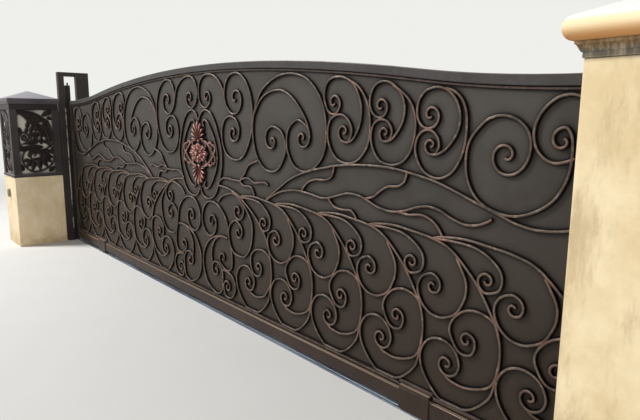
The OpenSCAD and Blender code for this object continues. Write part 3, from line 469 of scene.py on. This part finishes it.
# Long stem, wavy twig and side twigs between the registers
LONG_STEM = ((858, 938), (910, 976), (994, 1028), (1100, 1091), (1206, 1134), (1310, 1165), (1416, 1186),
    (1510, 1205), (1668, 1221), (1826, 1226), (1952, 1220), (2079, 1202), (2194, 1180), (2310, 1144),
    (2416, 1107), (2510, 1076), (2594, 1049), (2690, 1038), (2805, 1054), (2870, 1095), (2920, 1170),
    (2945, 1270))
WAVY_TWIG = ((858, 938), (910, 965), (994, 1002), (1078, 1023), (1184, 1034), (1290, 1028), (1394, 1016),
    (1458, 1023), (1532, 1044), (1616, 1065), (1700, 1062), (1763, 1044), (1836, 1020), (1921, 1009),
    (2005, 1023), (2079, 1049), (2152, 1063), (2216, 1054), (2279, 1028), (2352, 1009), (2416, 1016),
    (2458, 1034), (2484, 1051))
TWIGS = (((1505, 1205), (1485, 1145), (1430, 1120), (1350, 1116), (1290, 1098), (1250, 1070),
    (1222, 1036)), ((2019, 1210), (2004, 1165), (1963, 1138), (1900, 1130), (1847, 1102), (1805, 1070),
    (1750, 1054)), ((1458, 1020), (1510, 980), (1574, 972), (1636, 976), (1668, 956), (1688, 925)),
    ((1974, 1014), (2036, 1009), (2110, 1018), (2163, 1007), (2205, 980), (2236, 940)), ((263, 986),
    (321, 1028), (374, 1038), (468, 1034), (552, 1034), (584, 1051), (658, 1060), (721, 1038),
    (784, 1044), (847, 1049), (884, 1034)), ((552, 1034), (594, 1007), (678, 1007), (710, 986),
    (726, 954)), ((563, 1044), (616, 1091), (648, 1134), (690, 1160), (774, 1186)))
# Wings of the medallion, from its centre
WING_ARM = ((42, 100), (88, 90), (128, 72), (172, 38), (204, 8), (228, -18), (234, -46), (214, -66),
    (190, -58), (194, -42))
WING_CURL = ((52, 98), (84, 92), (100, 68), (90, 44), (68, 42))
WING_SPUR = ((128, 72), (156, 84), (182, 76), (190, 58))
# One lantern panel, from its lower street corner: the bars, then each leaf's root, turn, reach and half width
SWEEP_TOP = ((30, 692), (130, 682), (220, 650), (292, 584), (328, 520), (350, 440), (356, 350))
SWEEP_ONE = ((6, 688), (60, 668), (138, 616), (204, 562), (262, 510), (298, 440), (312, 370), (314, 306))
SWEEP_TWO = scroll(((0, 676), (58, 644), (117, 576), (172, 532), (208, 480), (228, 425)),
    (168, 400), -1.6)
LEFT_EYE = scroll(((120, 274), (60, 284), (18, 318), (4, 372), (10, 424), (40, 456)), (62, 404), -1.5)
PANEL_WAVE = ((50, 288), (120, 272), (200, 262), (262, 270), (318, 300), (358, 350))
RING_SCROLL = scroll(((358, 300), (358, 230), (352, 164), (333, 110), (282, 60), (200, 27), (120, 27),
    (60, 68), (30, 137), (34, 215), (72, 262)), (146, 205), -1.6)
PANEL_LEAVES = ((30, 446, 12, 70, 14), (78, 450, -18, 62, 13), (124, 436, -12, 74, 13),
    (108, 584, 172, 78, 15), (160, 548, 160, 84, 14), (216, 556, 152, 96, 18), (262, 514, 166, 116, 20),
    (236, 420, 176, 96, 15), (204, 658, 200, 96, 18), (268, 608, 190, 90, 17), (322, 532, 164, 100, 16),
    (362, 706, 122, 124, 17), (362, 596, 60, 66, 13), (300, 446, 178, 120, 18), (314, 330, 58, 72, 15),
    (352, 446, 168, 96, 15), (60, 70, -35, 104, 20), (120, 30, -14, 116, 20), (200, 30, 2, 122, 20),
    (280, 62, 26, 122, 20), (332, 112, 48, 112, 19), (350, 168, 66, 104, 17), (356, 236, 84, 92, 15),
    (32, 140, -72, 64, 15), (-2, 118, 200, 88, 16), (362, 74, 128, 90, 16), (280, 268, 128, 60, 14))
# Leaves that scene.py alone adds between them, which close the panel as the real one's do
FILL_LEAVES = ((10, 700, -112, 345, 20), (8, 694, -127, 300, 18), (150, 560, -135, 200, 20),
    (240, 520, -160, 130, 19), (290, 565, -175, 160, 19), (330, 560, -180, 200, 16),
    (30, 330, -80, 195, 18), (20, 292, -100, 190, 18), (100, 250, -95, 185, 19), (250, 245, -170, 125, 20),
    (215, 215, -150, 115, 18), (140, 172, -110, 115, 18), (350, 700, 150, 60, 13), (318, 300, 20, 70, 16),
    (64, 262, 70, 64, 16), (110, 440, -95, 110, 20), (104, 250, 175, 70, 14), (340, 300, 178, 90, 12),
    (36, 302, -92, 215, 17))
LEAF_FULL = 1.35  # every leaf is this much fuller here than in the part's source

PITCH, REPEATS = 412, 5                 # the feather unit along the lower half
BAR_BACK, BAR_T, BAR_W = -14, 14, 14    # the bars' back face, on the sheet, and their section
MEDAL_Z = 1192


def moved(k, x):
    return [(p[0] + x, p[1]) for p in k]


def mirrored(k):
    return [(-p[0], p[1]) for p in k]


feathers = [moved(run, i * PITCH) for i in range(REPEATS) for run in (STEM, HOOK, FAN, CREST, WAVE)]
feathers += [FIRST_STEM, FIRST_CREST, moved(WAVE, -PITCH), PURSE, BROW]
centre = [HEART, LOBE, INNER_LOBE, DROP]
oval = [OVAL_OUTER, OVAL_INNER]
upper = [CROWN_SCROLL, THREE_SCROLL, ARCH_SCROLL, INNER_ARCH, PAIR_SHORT, PAIR_LONG, SECOND_SHORT,
         SECOND_LONG, THIRD_SHORT, THIRD_LONG, GREAT_SCROLL, END_RING]
tendrils = [LONG_STEM, WAVY_TWIG] + list(TWIGS)


# ---- geometry nodes: forged bars along routes, and fans of cast petals
def node_group(name, sockets):
    tree = bpy.data.node_groups.new(name, "GeometryNodeTree")
    tree.interface.new_socket("Geometry", in_out="OUTPUT", socket_type="NodeSocketGeometry")
    tree.interface.new_socket("Geometry", in_out="INPUT", socket_type="NodeSocketGeometry")
    for label, kind, value in sockets:
        item = tree.interface.new_socket(label, in_out="INPUT", socket_type="NodeSocket" + kind)
        if value is not None:
            item.default_value = value
    return tree, add(tree, "NodeGroupInput"), add(tree, "NodeGroupOutput")


def finish_group(tree, given, out, geometry):
    whole = add(tree, "GeometryNodeRealizeInstances", Geometry=geometry).outputs[0]
    done = add(tree, "GeometryNodeSetMaterial", Geometry=whole, Material=given.outputs["Material"]).outputs[0]
    tree.links.new(done, out.inputs[0])


def forged_bar_group():
    """Bars swept along the edges of a mesh, thinned by its attribute "thin" and hammered uneven."""
    tree, given, out = node_group("forged_bars", [
        ("Bar Width", "Float", 0.014), ("Bar Depth", "Float", 0.014), ("Corner Radius", "Float", 0.004),
        ("Hammering", "Float", 0.0006), ("Dents per Metre", "Float", 55.0), ("Seed", "Float", 3.0),
        ("Material", "Material", None)])
    run = add(tree, "GeometryNodeMeshToCurve", i0=given.outputs["Geometry"]).outputs[0]
    drawn = add(tree, "GeometryNodeInputNamedAttribute", {"data_type": "FLOAT"}, Name="thin").outputs[0]
    run = add(tree, "GeometryNodeSetCurveRadius", Curve=run, Radius=drawn).outputs[0]
    section = add(tree, "GeometryNodeCurvePrimitiveQuadrilateral", Width=given.outputs["Bar Width"],
                  Height=given.outputs["Bar Depth"]).outputs[0]
    section = add(tree, "GeometryNodeFilletCurve", {"mode": "POLY"}, Curve=section, Count=2,
                  Radius=given.outputs["Corner Radius"]).outputs[0]
    bars = add(tree, "GeometryNodeCurveToMesh", Curve=run, Profile_Curve=section, Fill_Caps=True).outputs[0]
    dents = add(tree, "ShaderNodeTexNoise", {"noise_dimensions": "4D"}, W=given.outputs["Seed"],
                Scale=given.outputs["Dents per Metre"], Detail=2.0).outputs[0]
    depth = maths(tree, "MULTIPLY", maths(tree, "SUBTRACT", dents, 0.5), given.outputs["Hammering"])
    normal = add(tree, "GeometryNodeInputNormal").outputs[0]
    push = add(tree, "ShaderNodeVectorMath", {"operation": "SCALE"}, i0=normal, Scale=depth).outputs[0]
    bars = add(tree, "GeometryNodeSetPosition", Geometry=bars, Offset=push).outputs[0]
    bars = add(tree, "GeometryNodeSetShadeSmooth", Geometry=bars).outputs[0]
    finish_group(tree, given, out, bars)
    return tree


def petal_fan_group():
    """Copies of a petal turned about the Y axis round a centre, smaller away from the middle one."""
    tree, given, out = node_group("petal_fan", [
        ("Count", "Int", 8), ("First Angle", "Float", 0.0), ("Step Angle", "Float", 0.785),
        ("Shrink", "Float", 0.0), ("Middle", "Float", 0.0), ("Centre", "Vector", None),
        ("Material", "Material", None)])
    points = add(tree, "GeometryNodeMeshLine", Count=given.outputs["Count"],
                 Offset=(0.0, 0.0, 0.0)).outputs[0]
    points = add(tree, "GeometryNodeSetPosition", Geometry=points,
                 Offset=given.outputs["Centre"]).outputs[0]
    index = add(tree, "GeometryNodeInputIndex").outputs[0]
    turn = maths(tree, "MULTIPLY_ADD", index, given.outputs["Step Angle"], given.outputs["First Angle"])
    away = maths(tree, "ABSOLUTE", maths(tree, "SUBTRACT", turn, given.outputs["Middle"]))
    size = maths(tree, "SUBTRACT", 1.0, maths(tree, "MULTIPLY", away, given.outputs["Shrink"]))
    size = add(tree, "ShaderNodeCombineXYZ", X=size, Y=1.0, Z=size).outputs[0]
    angle = add(tree, "ShaderNodeCombineXYZ", Y=turn).outputs[0]
    fan = add(tree, "GeometryNodeInstanceOnPoints", Points=points, Instance=given.outputs["Geometry"],
              Rotation=angle, Scale=size).outputs[0]
    finish_group(tree, given, out, fan)
    return tree


FORGED_BARS, PETAL_FAN = forged_bar_group(), petal_fan_group()


def plain_mesh(name, obj, group, **values):
    """The object's mesh after the group has run on it, as a plain mesh; the object itself is removed."""
    live = obj.modifiers.new("made_by_nodes", "NODES")
    live.node_group = group
    sockets = {item.name: item.identifier for item in group.interface.items_tree if item.in_out == "INPUT"}
    for label, value in values.items():
        live[sockets[label.replace("_", " ")]] = value
    bpy.context.scene.collection.objects.link(obj)
    evaluated = obj.evaluated_get(bpy.context.evaluated_depsgraph_get())
    mesh = bpy.data.meshes.new_from_object(evaluated)
    mesh.name = name
    bpy.data.objects.remove(obj)
    return mesh


def show(name, mesh, slot_name, *stands_for):
    """A finished mesh as a piece that rides with, and stands for, CAD nodes of one body."""
    piece = bpy.data.objects.new(name, mesh)
    bpy.context.scene.collection.objects.link(piece)
    bodies = frame["record"]["behaviour"]["bodies"]
    body = next(label for label, members in bodies.items() if stands_for[0] in members)
    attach(piece, body)
    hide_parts(*stands_for)
    return piece


# ---- forged bars
def weld_marks(runs, reach=26.0, touching=13.0):
    """For each point of each run, 1 where another run touches it, falling to 0 at reach millimetres."""
    everything = [(x, z, i) for i, run in enumerate(runs) for x, z in run]
    tree = kdtree.KDTree(len(everything))
    for j, (x, z, _) in enumerate(everything):
        tree.insert((x, z, 0), j)
    tree.balance()
    marks = []
    for i, run in enumerate(runs):
        row = []
        for x, z in run:
            near = [d for _, j, d in tree.find_range((x, z, 0), reach) if everything[j][2] != i]
            row.append(max(0.0, min(1.0, (reach - min(near)) / (reach - touching))) if near else 0.0)
        marks.append(row)
    return marks


def bar_mesh(name, runs, to_space, material, width=BAR_W, depth=BAR_T, floor_z=None, corner=0.38,
             taper=42.0, thin_to=0.5, rubbed_tip=260.0):
    """One mesh of forged bars swept along runs of points, with both tips drawn out. Where a run dips
    under floor_z, it runs along it."""
    runs = [smooth(k) for k in runs]
    if floor_z:
        runs = [[(x, max(z, floor_z)) for x, z in run] for run in runs]
    marks = weld_marks(runs)
    verts, edges, thin, weld = [], [], [], []
    for run, row in zip(runs, marks):
        base, total, walked = len(verts), 0.0, [0.0]
        for a, b in zip(run, run[1:]):
            total += math.dist(a, b)
            walked.append(total)
        for (x, z), far, mark in zip(run, walked, row):
            verts.append([c / 1000 for c in to_space(x, z)])
            ease = min(1.0, min(far, total - far) / taper)
            thin.append(thin_to + (1 - thin_to) * ease ** 0.7)
            tip = max(0.0, 1 - min(far, total - far) / rubbed_tip)
            weld.append(max(mark, tip))
        edges += [(base + i, base + i + 1) for i in range(len(run) - 1)]
    mesh = bpy.data.meshes.new(name + "_routes")
    mesh.from_pydata(verts, edges, [])
    mesh.attributes.new("thin", "FLOAT", "POINT").data.foreach_set("value", thin)
    mesh.attributes.new("weld", "FLOAT", "POINT").data.foreach_set("value", weld)
    return plain_mesh(name, bpy.data.objects.new(name + "_routes", mesh), FORGED_BARS,
                      Bar_Width=width / 1000, Bar_Depth=depth / 1000,
                      Corner_Radius=corner * min(width, depth) / 1000, Material=material)


def joined(name, meshes, material):
    """Several meshes made one, normals outward."""
    shape = bmesh.new()
    for mesh in meshes:
        shape.from_mesh(mesh)
    bmesh.ops.recalc_face_normals(shape, faces=shape.faces)
    whole = bpy.data.meshes.new(name)
    shape.to_mesh(whole)
    shape.free()
    whole.materials.append(material)
    return whole


def on_leaf(x, z):
    return x, BAR_BACK - BAR_T / 2, z


FEATHER_FLOOR = 155.0  # the feathers' bellies rest on the bottom moulding
for side, flip in (("left", mirrored), ("right", list)):
    for family, runs, low in (("feather_scrolls", feathers, FEATHER_FLOOR), ("upper_scrolls", upper, None),
                              ("tendrils", tendrils, None)):
        node = family + "_" + side
        show(node + "_forged", bar_mesh(node, [flip(k) for k in runs], on_leaf, bar_paint, floor_z=low),
             "scroll_iron", node)
for node, runs in (("centre_scrolls", centre), ("oval_surround", oval)):
    both = [list(k) for k in runs] + [mirrored(k) for k in runs]
    show(node + "_forged", bar_mesh(node, both, on_leaf, bar_paint), "scroll_iron", node)


# ---- cast medallion
def petal_mesh(name, reach, half, low, high, veins=3, rows=14, cols=12, fullest=0.63):
    """A closed cast petal, reach long along +Z from the origin and half wide to each side where it is
    fullest. Its back is at y = 0, its edge low and its veined front high, and its end is rounded off."""
    skew = math.log(0.5) / math.log(fullest)
    verts, faces, ridge = [], [], []
    for i in range(rows + 1):
        t = i / rows
        w = 1.5 + half * max(0.0, math.sin(math.pi * t ** skew)) ** 0.7
        rise = 0.58 + 0.42 * min(1.0, t / fullest) ** 1.3
        rise *= max(0.0, 1 - max(0.0, (t - 0.8) / 0.2) ** 2) ** 0.5  # the last fifth rounds off
        for j in range(cols + 1):
            s = 2 * j / cols - 1
            crown = (1 - s * s) ** 0.5 * rise
            vein = 0.5 + 0.5 * math.cos(veins * math.pi * s)
            height = low + (high - low) * crown * (0.72 + 0.28 * vein)
            verts.append((s * w / 1000, -height / 1000, reach * t / 1000))
            ridge.append(min(1.0, crown * (0.35 + 0.65 * vein)))
    back = len(verts)
    for i in range(rows + 1):
        for s in (-1, 1):
            x, _, z = verts[i * (cols + 1) + (0 if s < 0 else cols)]
            verts.append((x, 0.0, z))
            ridge.append(0.0)
    for i in range(rows):
        for j in range(cols):
            a = i * (cols + 1) + j
            faces.append((a, a + 1, a + cols + 2, a + cols + 1))
        left, right, b = i * (cols + 1), i * (cols + 1) + cols, back + 2 * i
        faces.append((b, left, left + cols + 1, b + 2))
        faces.append((right, b + 1, b + 3, right + cols + 1))
        faces.append((b + 1, b, b + 2, b + 3))
    faces.append(tuple(range(cols, -1, -1)) + (back, back + 1))
    end = rows * (cols + 1)
    faces.append(tuple(range(end, end + cols + 1)) + (back + 2 * rows + 1, back + 2 * rows))
    mesh = bpy.data.meshes.new(name)
    mesh.from_pydata(verts, [], faces)
    mesh.attributes.new("ridge", "FLOAT", "POINT").data.foreach_set("value", ridge)
    for face in mesh.polygons:
        face.use_smooth = len(face.vertices) == 4
    return mesh


def petal_fan(name, petal, count, first, step, centre_xyz, shrink=0.0, middle=0.0):
    """A fan of petals in copper; its angles are in degrees, and shrink is the loss of size per radian."""
    return plain_mesh(name, bpy.data.objects.new(name, petal), PETAL_FAN, Count=count,
                      First_Angle=math.radians(first), Step_Angle=math.radians(step), Shrink=shrink,
                      Middle=math.radians(middle), Centre=[c / 1000 for c in centre_xyz],
                      Material=copper_cast)


def dome_mesh(name, radius, height, centre_xyz, rings=6, around=24):
    """A closed dome with six shallow ribs, standing out toward -Y."""
    verts, faces, ridge = [], [], []
    for i in range(rings):
        a = 0.5 * math.pi * i / rings
        for j in range(around):
            b = 2 * math.pi * j / around
            r = radius * math.cos(a) * (1 + 0.06 * math.cos(6 * b))
            verts.append(((centre_xyz[0] + r * math.cos(b)) / 1000,
                          (centre_xyz[1] - height * math.sin(a)) / 1000,
                          (centre_xyz[2] + r * math.sin(b)) / 1000))
            ridge.append(0.3 + 0.7 * math.sin(a))
    verts.append((centre_xyz[0] / 1000, (centre_xyz[1] - height) / 1000, centre_xyz[2] / 1000))
    ridge.append(1.0)
    for i in range(rings - 1):
        for j in range(around):
            k = (j + 1) % around
            faces.append((i * around + j, i * around + k, (i + 1) * around + k, (i + 1) * around + j))
    top = (rings - 1) * around
    faces += [(top + j, top + (j + 1) % around, len(verts) - 1) for j in range(around)]
    faces.append(tuple(range(around - 1, -1, -1)))
    mesh = bpy.data.meshes.new(name)
    mesh.from_pydata(verts, [], faces)
    mesh.attributes.new("ridge", "FLOAT", "POINT").data.foreach_set("value", ridge)
    for face in mesh.polygons:
        face.use_smooth = len(face.vertices) <= 4
    mesh.materials.append(copper_cast)
    return mesh


def widened(mesh, factor):
    """The mesh drawn out sideways: the rosette is wider than it is high."""
    for vertex in mesh.vertices:
        vertex.co.x *= factor
    return mesh


middle = (0, BAR_BACK, MEDAL_Z)
rosette = []
for ring, reach, half, low, high, first, factor in (("outer", 77, 25, 9, 32, 0, 1.75),
                                                    ("inner", 52, 18, 12, 42, 22.5, 1.5)):
    petal = petal_mesh(ring + "_petal", reach, half, low, high, fullest=0.7)
    rosette.append(widened(petal_fan(ring + "_petals", petal, 8, first, 45, middle), factor))
rosette.append(dome_mesh("boss", 17, 18, (0, BAR_BACK - 29, MEDAL_Z)))
show("medallion_rosette_cast", joined("medallion_rosette", rosette, copper_cast), "medallion_copper",
     "medallion_rosette")
palmettes = []
for turn, up in ((0, 1), (180, -1)):
    lobe = petal_mesh("lobe", 140, 13.5, 7, 32, veins=1, fullest=0.8)
    palmettes.append(petal_fan("palmette", lobe, 9, turn - 88, 22, (0, BAR_BACK, MEDAL_Z + up * 106),
                               0.2456, turn))
    palmettes.append(dome_mesh("collar", 12, 26, (0, BAR_BACK, MEDAL_Z + up * 93)))
show("medallion_palmettes_cast", joined("medallion_palmettes", palmettes, copper_cast), "medallion_copper",
     "medallion_palmettes")
WING_T = 20
wings = []
for run, width in ((WING_ARM, 13), (WING_CURL, 10), (WING_SPUR, 9)):
    four = [[(sx * x, MEDAL_Z + sz * z) for x, z in run] for sx in (-1, 1) for sz in (-1, 1)]
    wings.append(bar_mesh("wing_run", four, lambda x, z: (x, BAR_BACK - WING_T / 2, z), wing_paint, width,
                          WING_T, corner=0.45))
wings += [dome_mesh("bead", 12, 23, (sx * x, BAR_BACK, MEDAL_Z + sz * z))
          for x, z in (WING_ARM[-1], WING_CURL[-1], WING_SPUR[-1]) for sx in (-1, 1) for sz in (-1, 1)]
show("medallion_wings_cast", joined("medallion_wings", wings, wing_paint), "medallion_copper",
     "medallion_wings")


# ---- lantern panels: swept bars with leaves between them
def leaf_mesh(root, turn, reach, half, place):
    """A cast leaf lying in a panel, from its root in the panel's own coordinates."""
    mesh = petal_mesh("leaf", reach, half, 9, 14, veins=1, rows=10, cols=8)
    a = math.radians(turn)
    for vertex in mesh.vertices:
        x, y, z = (c * 1000 for c in vertex.co)
        spot = place(root[0] + x * math.cos(a) - z * math.sin(a),
                     root[1] + x * math.sin(a) + z * math.cos(a), -y - BAR_T / 2)
        vertex.co = [c / 1000 for c in spot]
    return mesh


def panel_place(origin, along, outward):
    """What turns a panel's own coordinates, along it, up and outward, into the frame's."""
    def place(u, v, d=0.0):
        return [origin[i] + u * along[i] + d * outward[i] + (v if i == 2 else 0) for i in range(3)]
    return place


LEFT_X, RIGHT_X, STREET_Y, YARD_Y, LANTERN_LOW = -3534, -3034, -650, -150, 814
POST_W, PANEL_IN, PANEL_W = 70, 18, 27
panel_bars = [SWEEP_TOP, SWEEP_ONE, SWEEP_TWO, LEFT_EYE, PANEL_WAVE, RING_SCROLL]
for side, x, y, along, outward, paint in (
        ("jamb", RIGHT_X - PANEL_IN, STREET_Y + POST_W, (0, 1, 0), (1, 0, 0), panel_paint),
        ("outer", LEFT_X + PANEL_IN, STREET_Y + POST_W, (0, 1, 0), (-1, 0, 0), panel_paint),
        ("street", LEFT_X + POST_W, STREET_Y + PANEL_IN, (1, 0, 0), (0, -1, 0), street_panel_shaded_paint),
        ("yard", LEFT_X + POST_W, YARD_Y - PANEL_IN, (1, 0, 0), (0, 1, 0), panel_paint)):
    node = "grille_" + side
    place = panel_place((x, y, LANTERN_LOW), along, outward)
    pieces = [bar_mesh(node + "_sweeps", panel_bars, place, paint, PANEL_W, taper=60)]
    pieces += [leaf_mesh((u, v), turn, reach, LEAF_FULL * half, place)
               for u, v, turn, reach, half in PANEL_LEAVES + FILL_LEAVES]
    show(node + "_forged", joined(node, pieces, paint), "lantern_iron", node)


# ---- thin trim that scene.py alone adds
def trim(name, section, axis, low, high, material, body):
    """A bar of one section, its corners in the frame's millimetres, from low to high along an axis."""
    ring = len(section)
    verts = []
    for end in (low, high):
        for corner in section:
            spot = list(corner)
            spot.insert(axis, end)
            verts.append([c / 1000 for c in spot])
    sides = [(i, (i + 1) % ring, ring + (i + 1) % ring, ring + i) for i in range(ring)]
    mesh = bpy.data.meshes.new(name)
    mesh.from_pydata(verts, [], sides + [tuple(reversed(range(ring))), tuple(range(ring, 2 * ring))])
    piece = bpy.data.objects.new(name, joined(name, [mesh], material))
    bpy.context.scene.collection.objects.link(piece)
    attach(piece, body)


def oblong(x_low, x_high, y_low, y_high):
    return (x_low, y_low), (x_high, y_low), (x_high, y_high), (x_low, y_high)


# A strip closes the step between each wheel housing's lid and the bottom moulding
HOUSING_TOP, STEP_TOP, HOUSING_HALF = 130.8, 146.3, 92
STRIP_BACK = BAR_BACK - 0.2
STRIP_SECTION = ((-40.5, HOUSING_TOP), (-39.5, STEP_TOP - 3), (-23.5, STEP_TOP), (STRIP_BACK, STEP_TOP),
                 (STRIP_BACK, HOUSING_TOP))
for side, wheel_x in (("left", -2200), ("right", 2117)):
    trim("housing_strip_" + side, STRIP_SECTION, 0, wheel_x - HOUSING_HALF, wheel_x + HOUSING_HALF,
         rail_paint, "gate_leaf")
# A packer fills the joint between goal post and low pier, and a pale zinc strip on the inner tube's edge
# paints a highlight
trim("goal_post_packer", oblong(-3096, -3040, -150.4, -131.6), 2, 20, 1500, goal_paint, "ground_works")
trim("goal_post_highlight_edge", oblong(-3036, -3032, -76, -66), 2, 150, 1540, highlight_zinc, "ground_works")


# ---- the other CAD pieces, with their edges eased
MERGE, SHARP, EASED = 0.00002, math.radians(32), math.radians(40)
SHEET_LIFT = 0.0015  # takes the sheet's top up under the rail's eased edge, where light would show


def dressed(node, material, slot_name, edge_mm=0.0, segments=2):
    """A merged copy of a CAD node with its edges eased, standing for that node."""
    mesh = nodes[node].data.copy()
    shape = bmesh.new()
    shape.from_mesh(mesh)
    bmesh.ops.remove_doubles(shape, verts=shape.verts, dist=MERGE)
    if node == "sheet":
        for vert in shape.verts:
            vert.co.z += SHEET_LIFT if vert.co.z > 0.5 else 0.0
    bmesh.ops.dissolve_limit(shape, angle_limit=math.radians(0.5), verts=shape.verts, edges=shape.edges)
    shape.to_mesh(mesh)
    shape.free()
    mesh.materials.clear()
    mesh.materials.append(material)
    for face in mesh.polygons:
        face.use_smooth = True
    mesh.set_sharp_from_angle(angle=SHARP)
    piece = show(node + "_dressed", mesh, slot_name, node)
    if edge_mm:
        ease = piece.modifiers.new("eased_edges", "BEVEL")
        ease.width = edge_mm / 1000
        ease.segments = segments
        ease.limit_method = "ANGLE"
        ease.angle_limit = EASED
        ease.miter_outer = "MITER_ARC"


# Node, finish, slot, width of the eased edge in millimetres and its segments
for row in (
        ("pier_left", low_stucco, "stucco_low", 5, 3), ("pier_right", tall_stucco, "stucco_tall", 6, 3),
        ("pier_right_neck", tall_stucco, "stucco_tall", 4, 3), ("pier_right_cap", cap_stucco, "stucco_tall"),
        ("lantern_base", lantern_paint, "lantern_iron", 1.5),
        ("lantern_posts", lantern_paint, "lantern_iron", 0.8),
        ("lantern_frieze", frieze_paint, "lantern_iron", 2), ("lantern_cap", cap_paint, "lantern_iron", 2),
        ("lantern_panes", opal_acrylic, "opal_pane"), ("gate_sensor", sensor_shell, "sensor_plastic", 5, 4),
        ("goal_posts", goal_paint, "goal_steel", 3), ("goal_header", goal_paint, "goal_steel", 3),
        ("goal_stop_bar", shaded_goal_paint, "goal_steel", 3),
        ("goal_guide_channel", goal_paint, "goal_steel", 2),
        ("far_goal_posts", goal_paint, "goal_steel", 3), ("far_goal_header", goal_paint, "goal_steel", 3),
        ("far_goal_guides", guide_nylon, "guide_plastic", 3),
        ("track", track_steel, "track_steel", 1), ("track_stops", goal_paint, "track_steel", 2),
        ("top_rail", frame_paint, "frame_steel", 4, 3), ("bottom_rail", rail_paint, "frame_steel", 5, 3),
        ("stile_left", rail_paint, "frame_steel", 4, 3), ("stile_right", rail_paint, "frame_steel", 4, 3),
        ("sheet", sheet_paint, "sheet_steel"), ("top_moulding", moulding_paint, "frame_steel", 2),
        ("bottom_moulding", moulding_paint, "frame_steel", 4, 3),
        ("rear_stiffeners", frame_paint, "frame_steel", 3),
        ("wheel_housing_left", rail_paint, "frame_steel", 1.5),
        ("wheel_housing_right", rail_paint, "frame_steel", 1.5),
        ("wheel_left", wheel_steel, "wheel_steel", 0.8), ("wheel_right", wheel_steel, "wheel_steel", 0.8)):
    dressed(*row)


# ---- floor, world and lamps
def shows_background(tree):
    """1 for rays that show the backdrop: straight to the camera, off metal or through glass."""
    path = add(tree, "ShaderNodeLightPath").outputs
    mirrored_too = maths(tree, "MAXIMUM", path["Is Camera Ray"], path["Is Glossy Ray"])
    return maths(tree, "MAXIMUM", mirrored_too, path["Is Transmission Ray"])


BACKDROP = "#EFEFEC"


def pale_floor(reach=60, drop=0.0005):
    """A pale floor that fades into the backdrop's white away from the gate."""
    mesh = bpy.data.meshes.new("pale_floor")
    mesh.from_pydata([(-reach, -reach, -drop), (reach, -reach, -drop), (reach, reach, -drop),
                      (-reach, reach, -drop)], [], [(0, 1, 2, 3)])
    floor = bpy.data.objects.new("pale_floor", mesh)
    bpy.context.scene.collection.objects.link(floor)
    mat, tree, shader, place = new_material("pale_floor_matt")
    set_shader(tree, shader, mix(tree, noise(tree, place, FLOOR_CLOUD, 2.0), "#D9D7D2", "#DEDCD8"), 0.95,
               Specular_IOR_Level=0.1)
    far = add(tree, "ShaderNodeVectorMath", {"operation": "LENGTH"}, i0=place).outputs["Value"]
    fade = maths(tree, "MULTIPLY", span(tree, far, 5.0, 13.0), shows_background(tree))
    white = add(tree, "ShaderNodeEmission", Color=BACKDROP)
    both = add(tree, "ShaderNodeMixShader", i0=fade, i1=shader.outputs[0], i2=white.outputs[0])
    out = next(n for n in tree.nodes if n.type == "OUTPUT_MATERIAL")
    tree.links.new(both.outputs[0], out.inputs[0])
    mesh.materials.append(mat)


def studio_light():
    """A plain white backdrop, a weak cool fill from all round, and three soft lamps."""
    world = bpy.data.worlds.new("studio")
    bpy.context.scene.world = world
    world.use_nodes = True
    tree = world.node_tree
    tree.nodes.clear()
    out = add(tree, "ShaderNodeOutputWorld")
    fill = add(tree, "ShaderNodeBackground", Color="#E8ECF2", Strength=0.28)
    shown = add(tree, "ShaderNodeBackground", Color=BACKDROP, Strength=1.0)
    both = add(tree, "ShaderNodeMixShader", i0=shows_background(tree), i1=fill.outputs[0],
               i2=shown.outputs[0])
    tree.links.new(both.outputs[0], out.inputs[0])
    for name, spot, aim, power, size in (
            ("key_from_upper_left", (-6.0, -5.0, 8.0), (0.0, 0.0, 1.0), 1100, 1.6),
            ("fill_from_right", (7.0, -7.0, 4.0), (-1.0, 0.0, 0.8), 400, 5.0),
            ("yard_side_light", (0.0, 8.0, 6.0), (0.0, 0.0, 1.0), 260, 5.0)):
        lamp = bpy.data.lights.new(name, "AREA")
        lamp.energy = power
        lamp.size = size
        item = bpy.data.objects.new(name, lamp)
        item.location = spot
        item.rotation_euler = (Vector(aim) - Vector(spot)).to_track_quat("-Z", "Y").to_euler()
        bpy.context.scene.collection.objects.link(item)


pale_floor()
studio_light()
bpy.context.scene.view_settings.view_transform = "Standard"
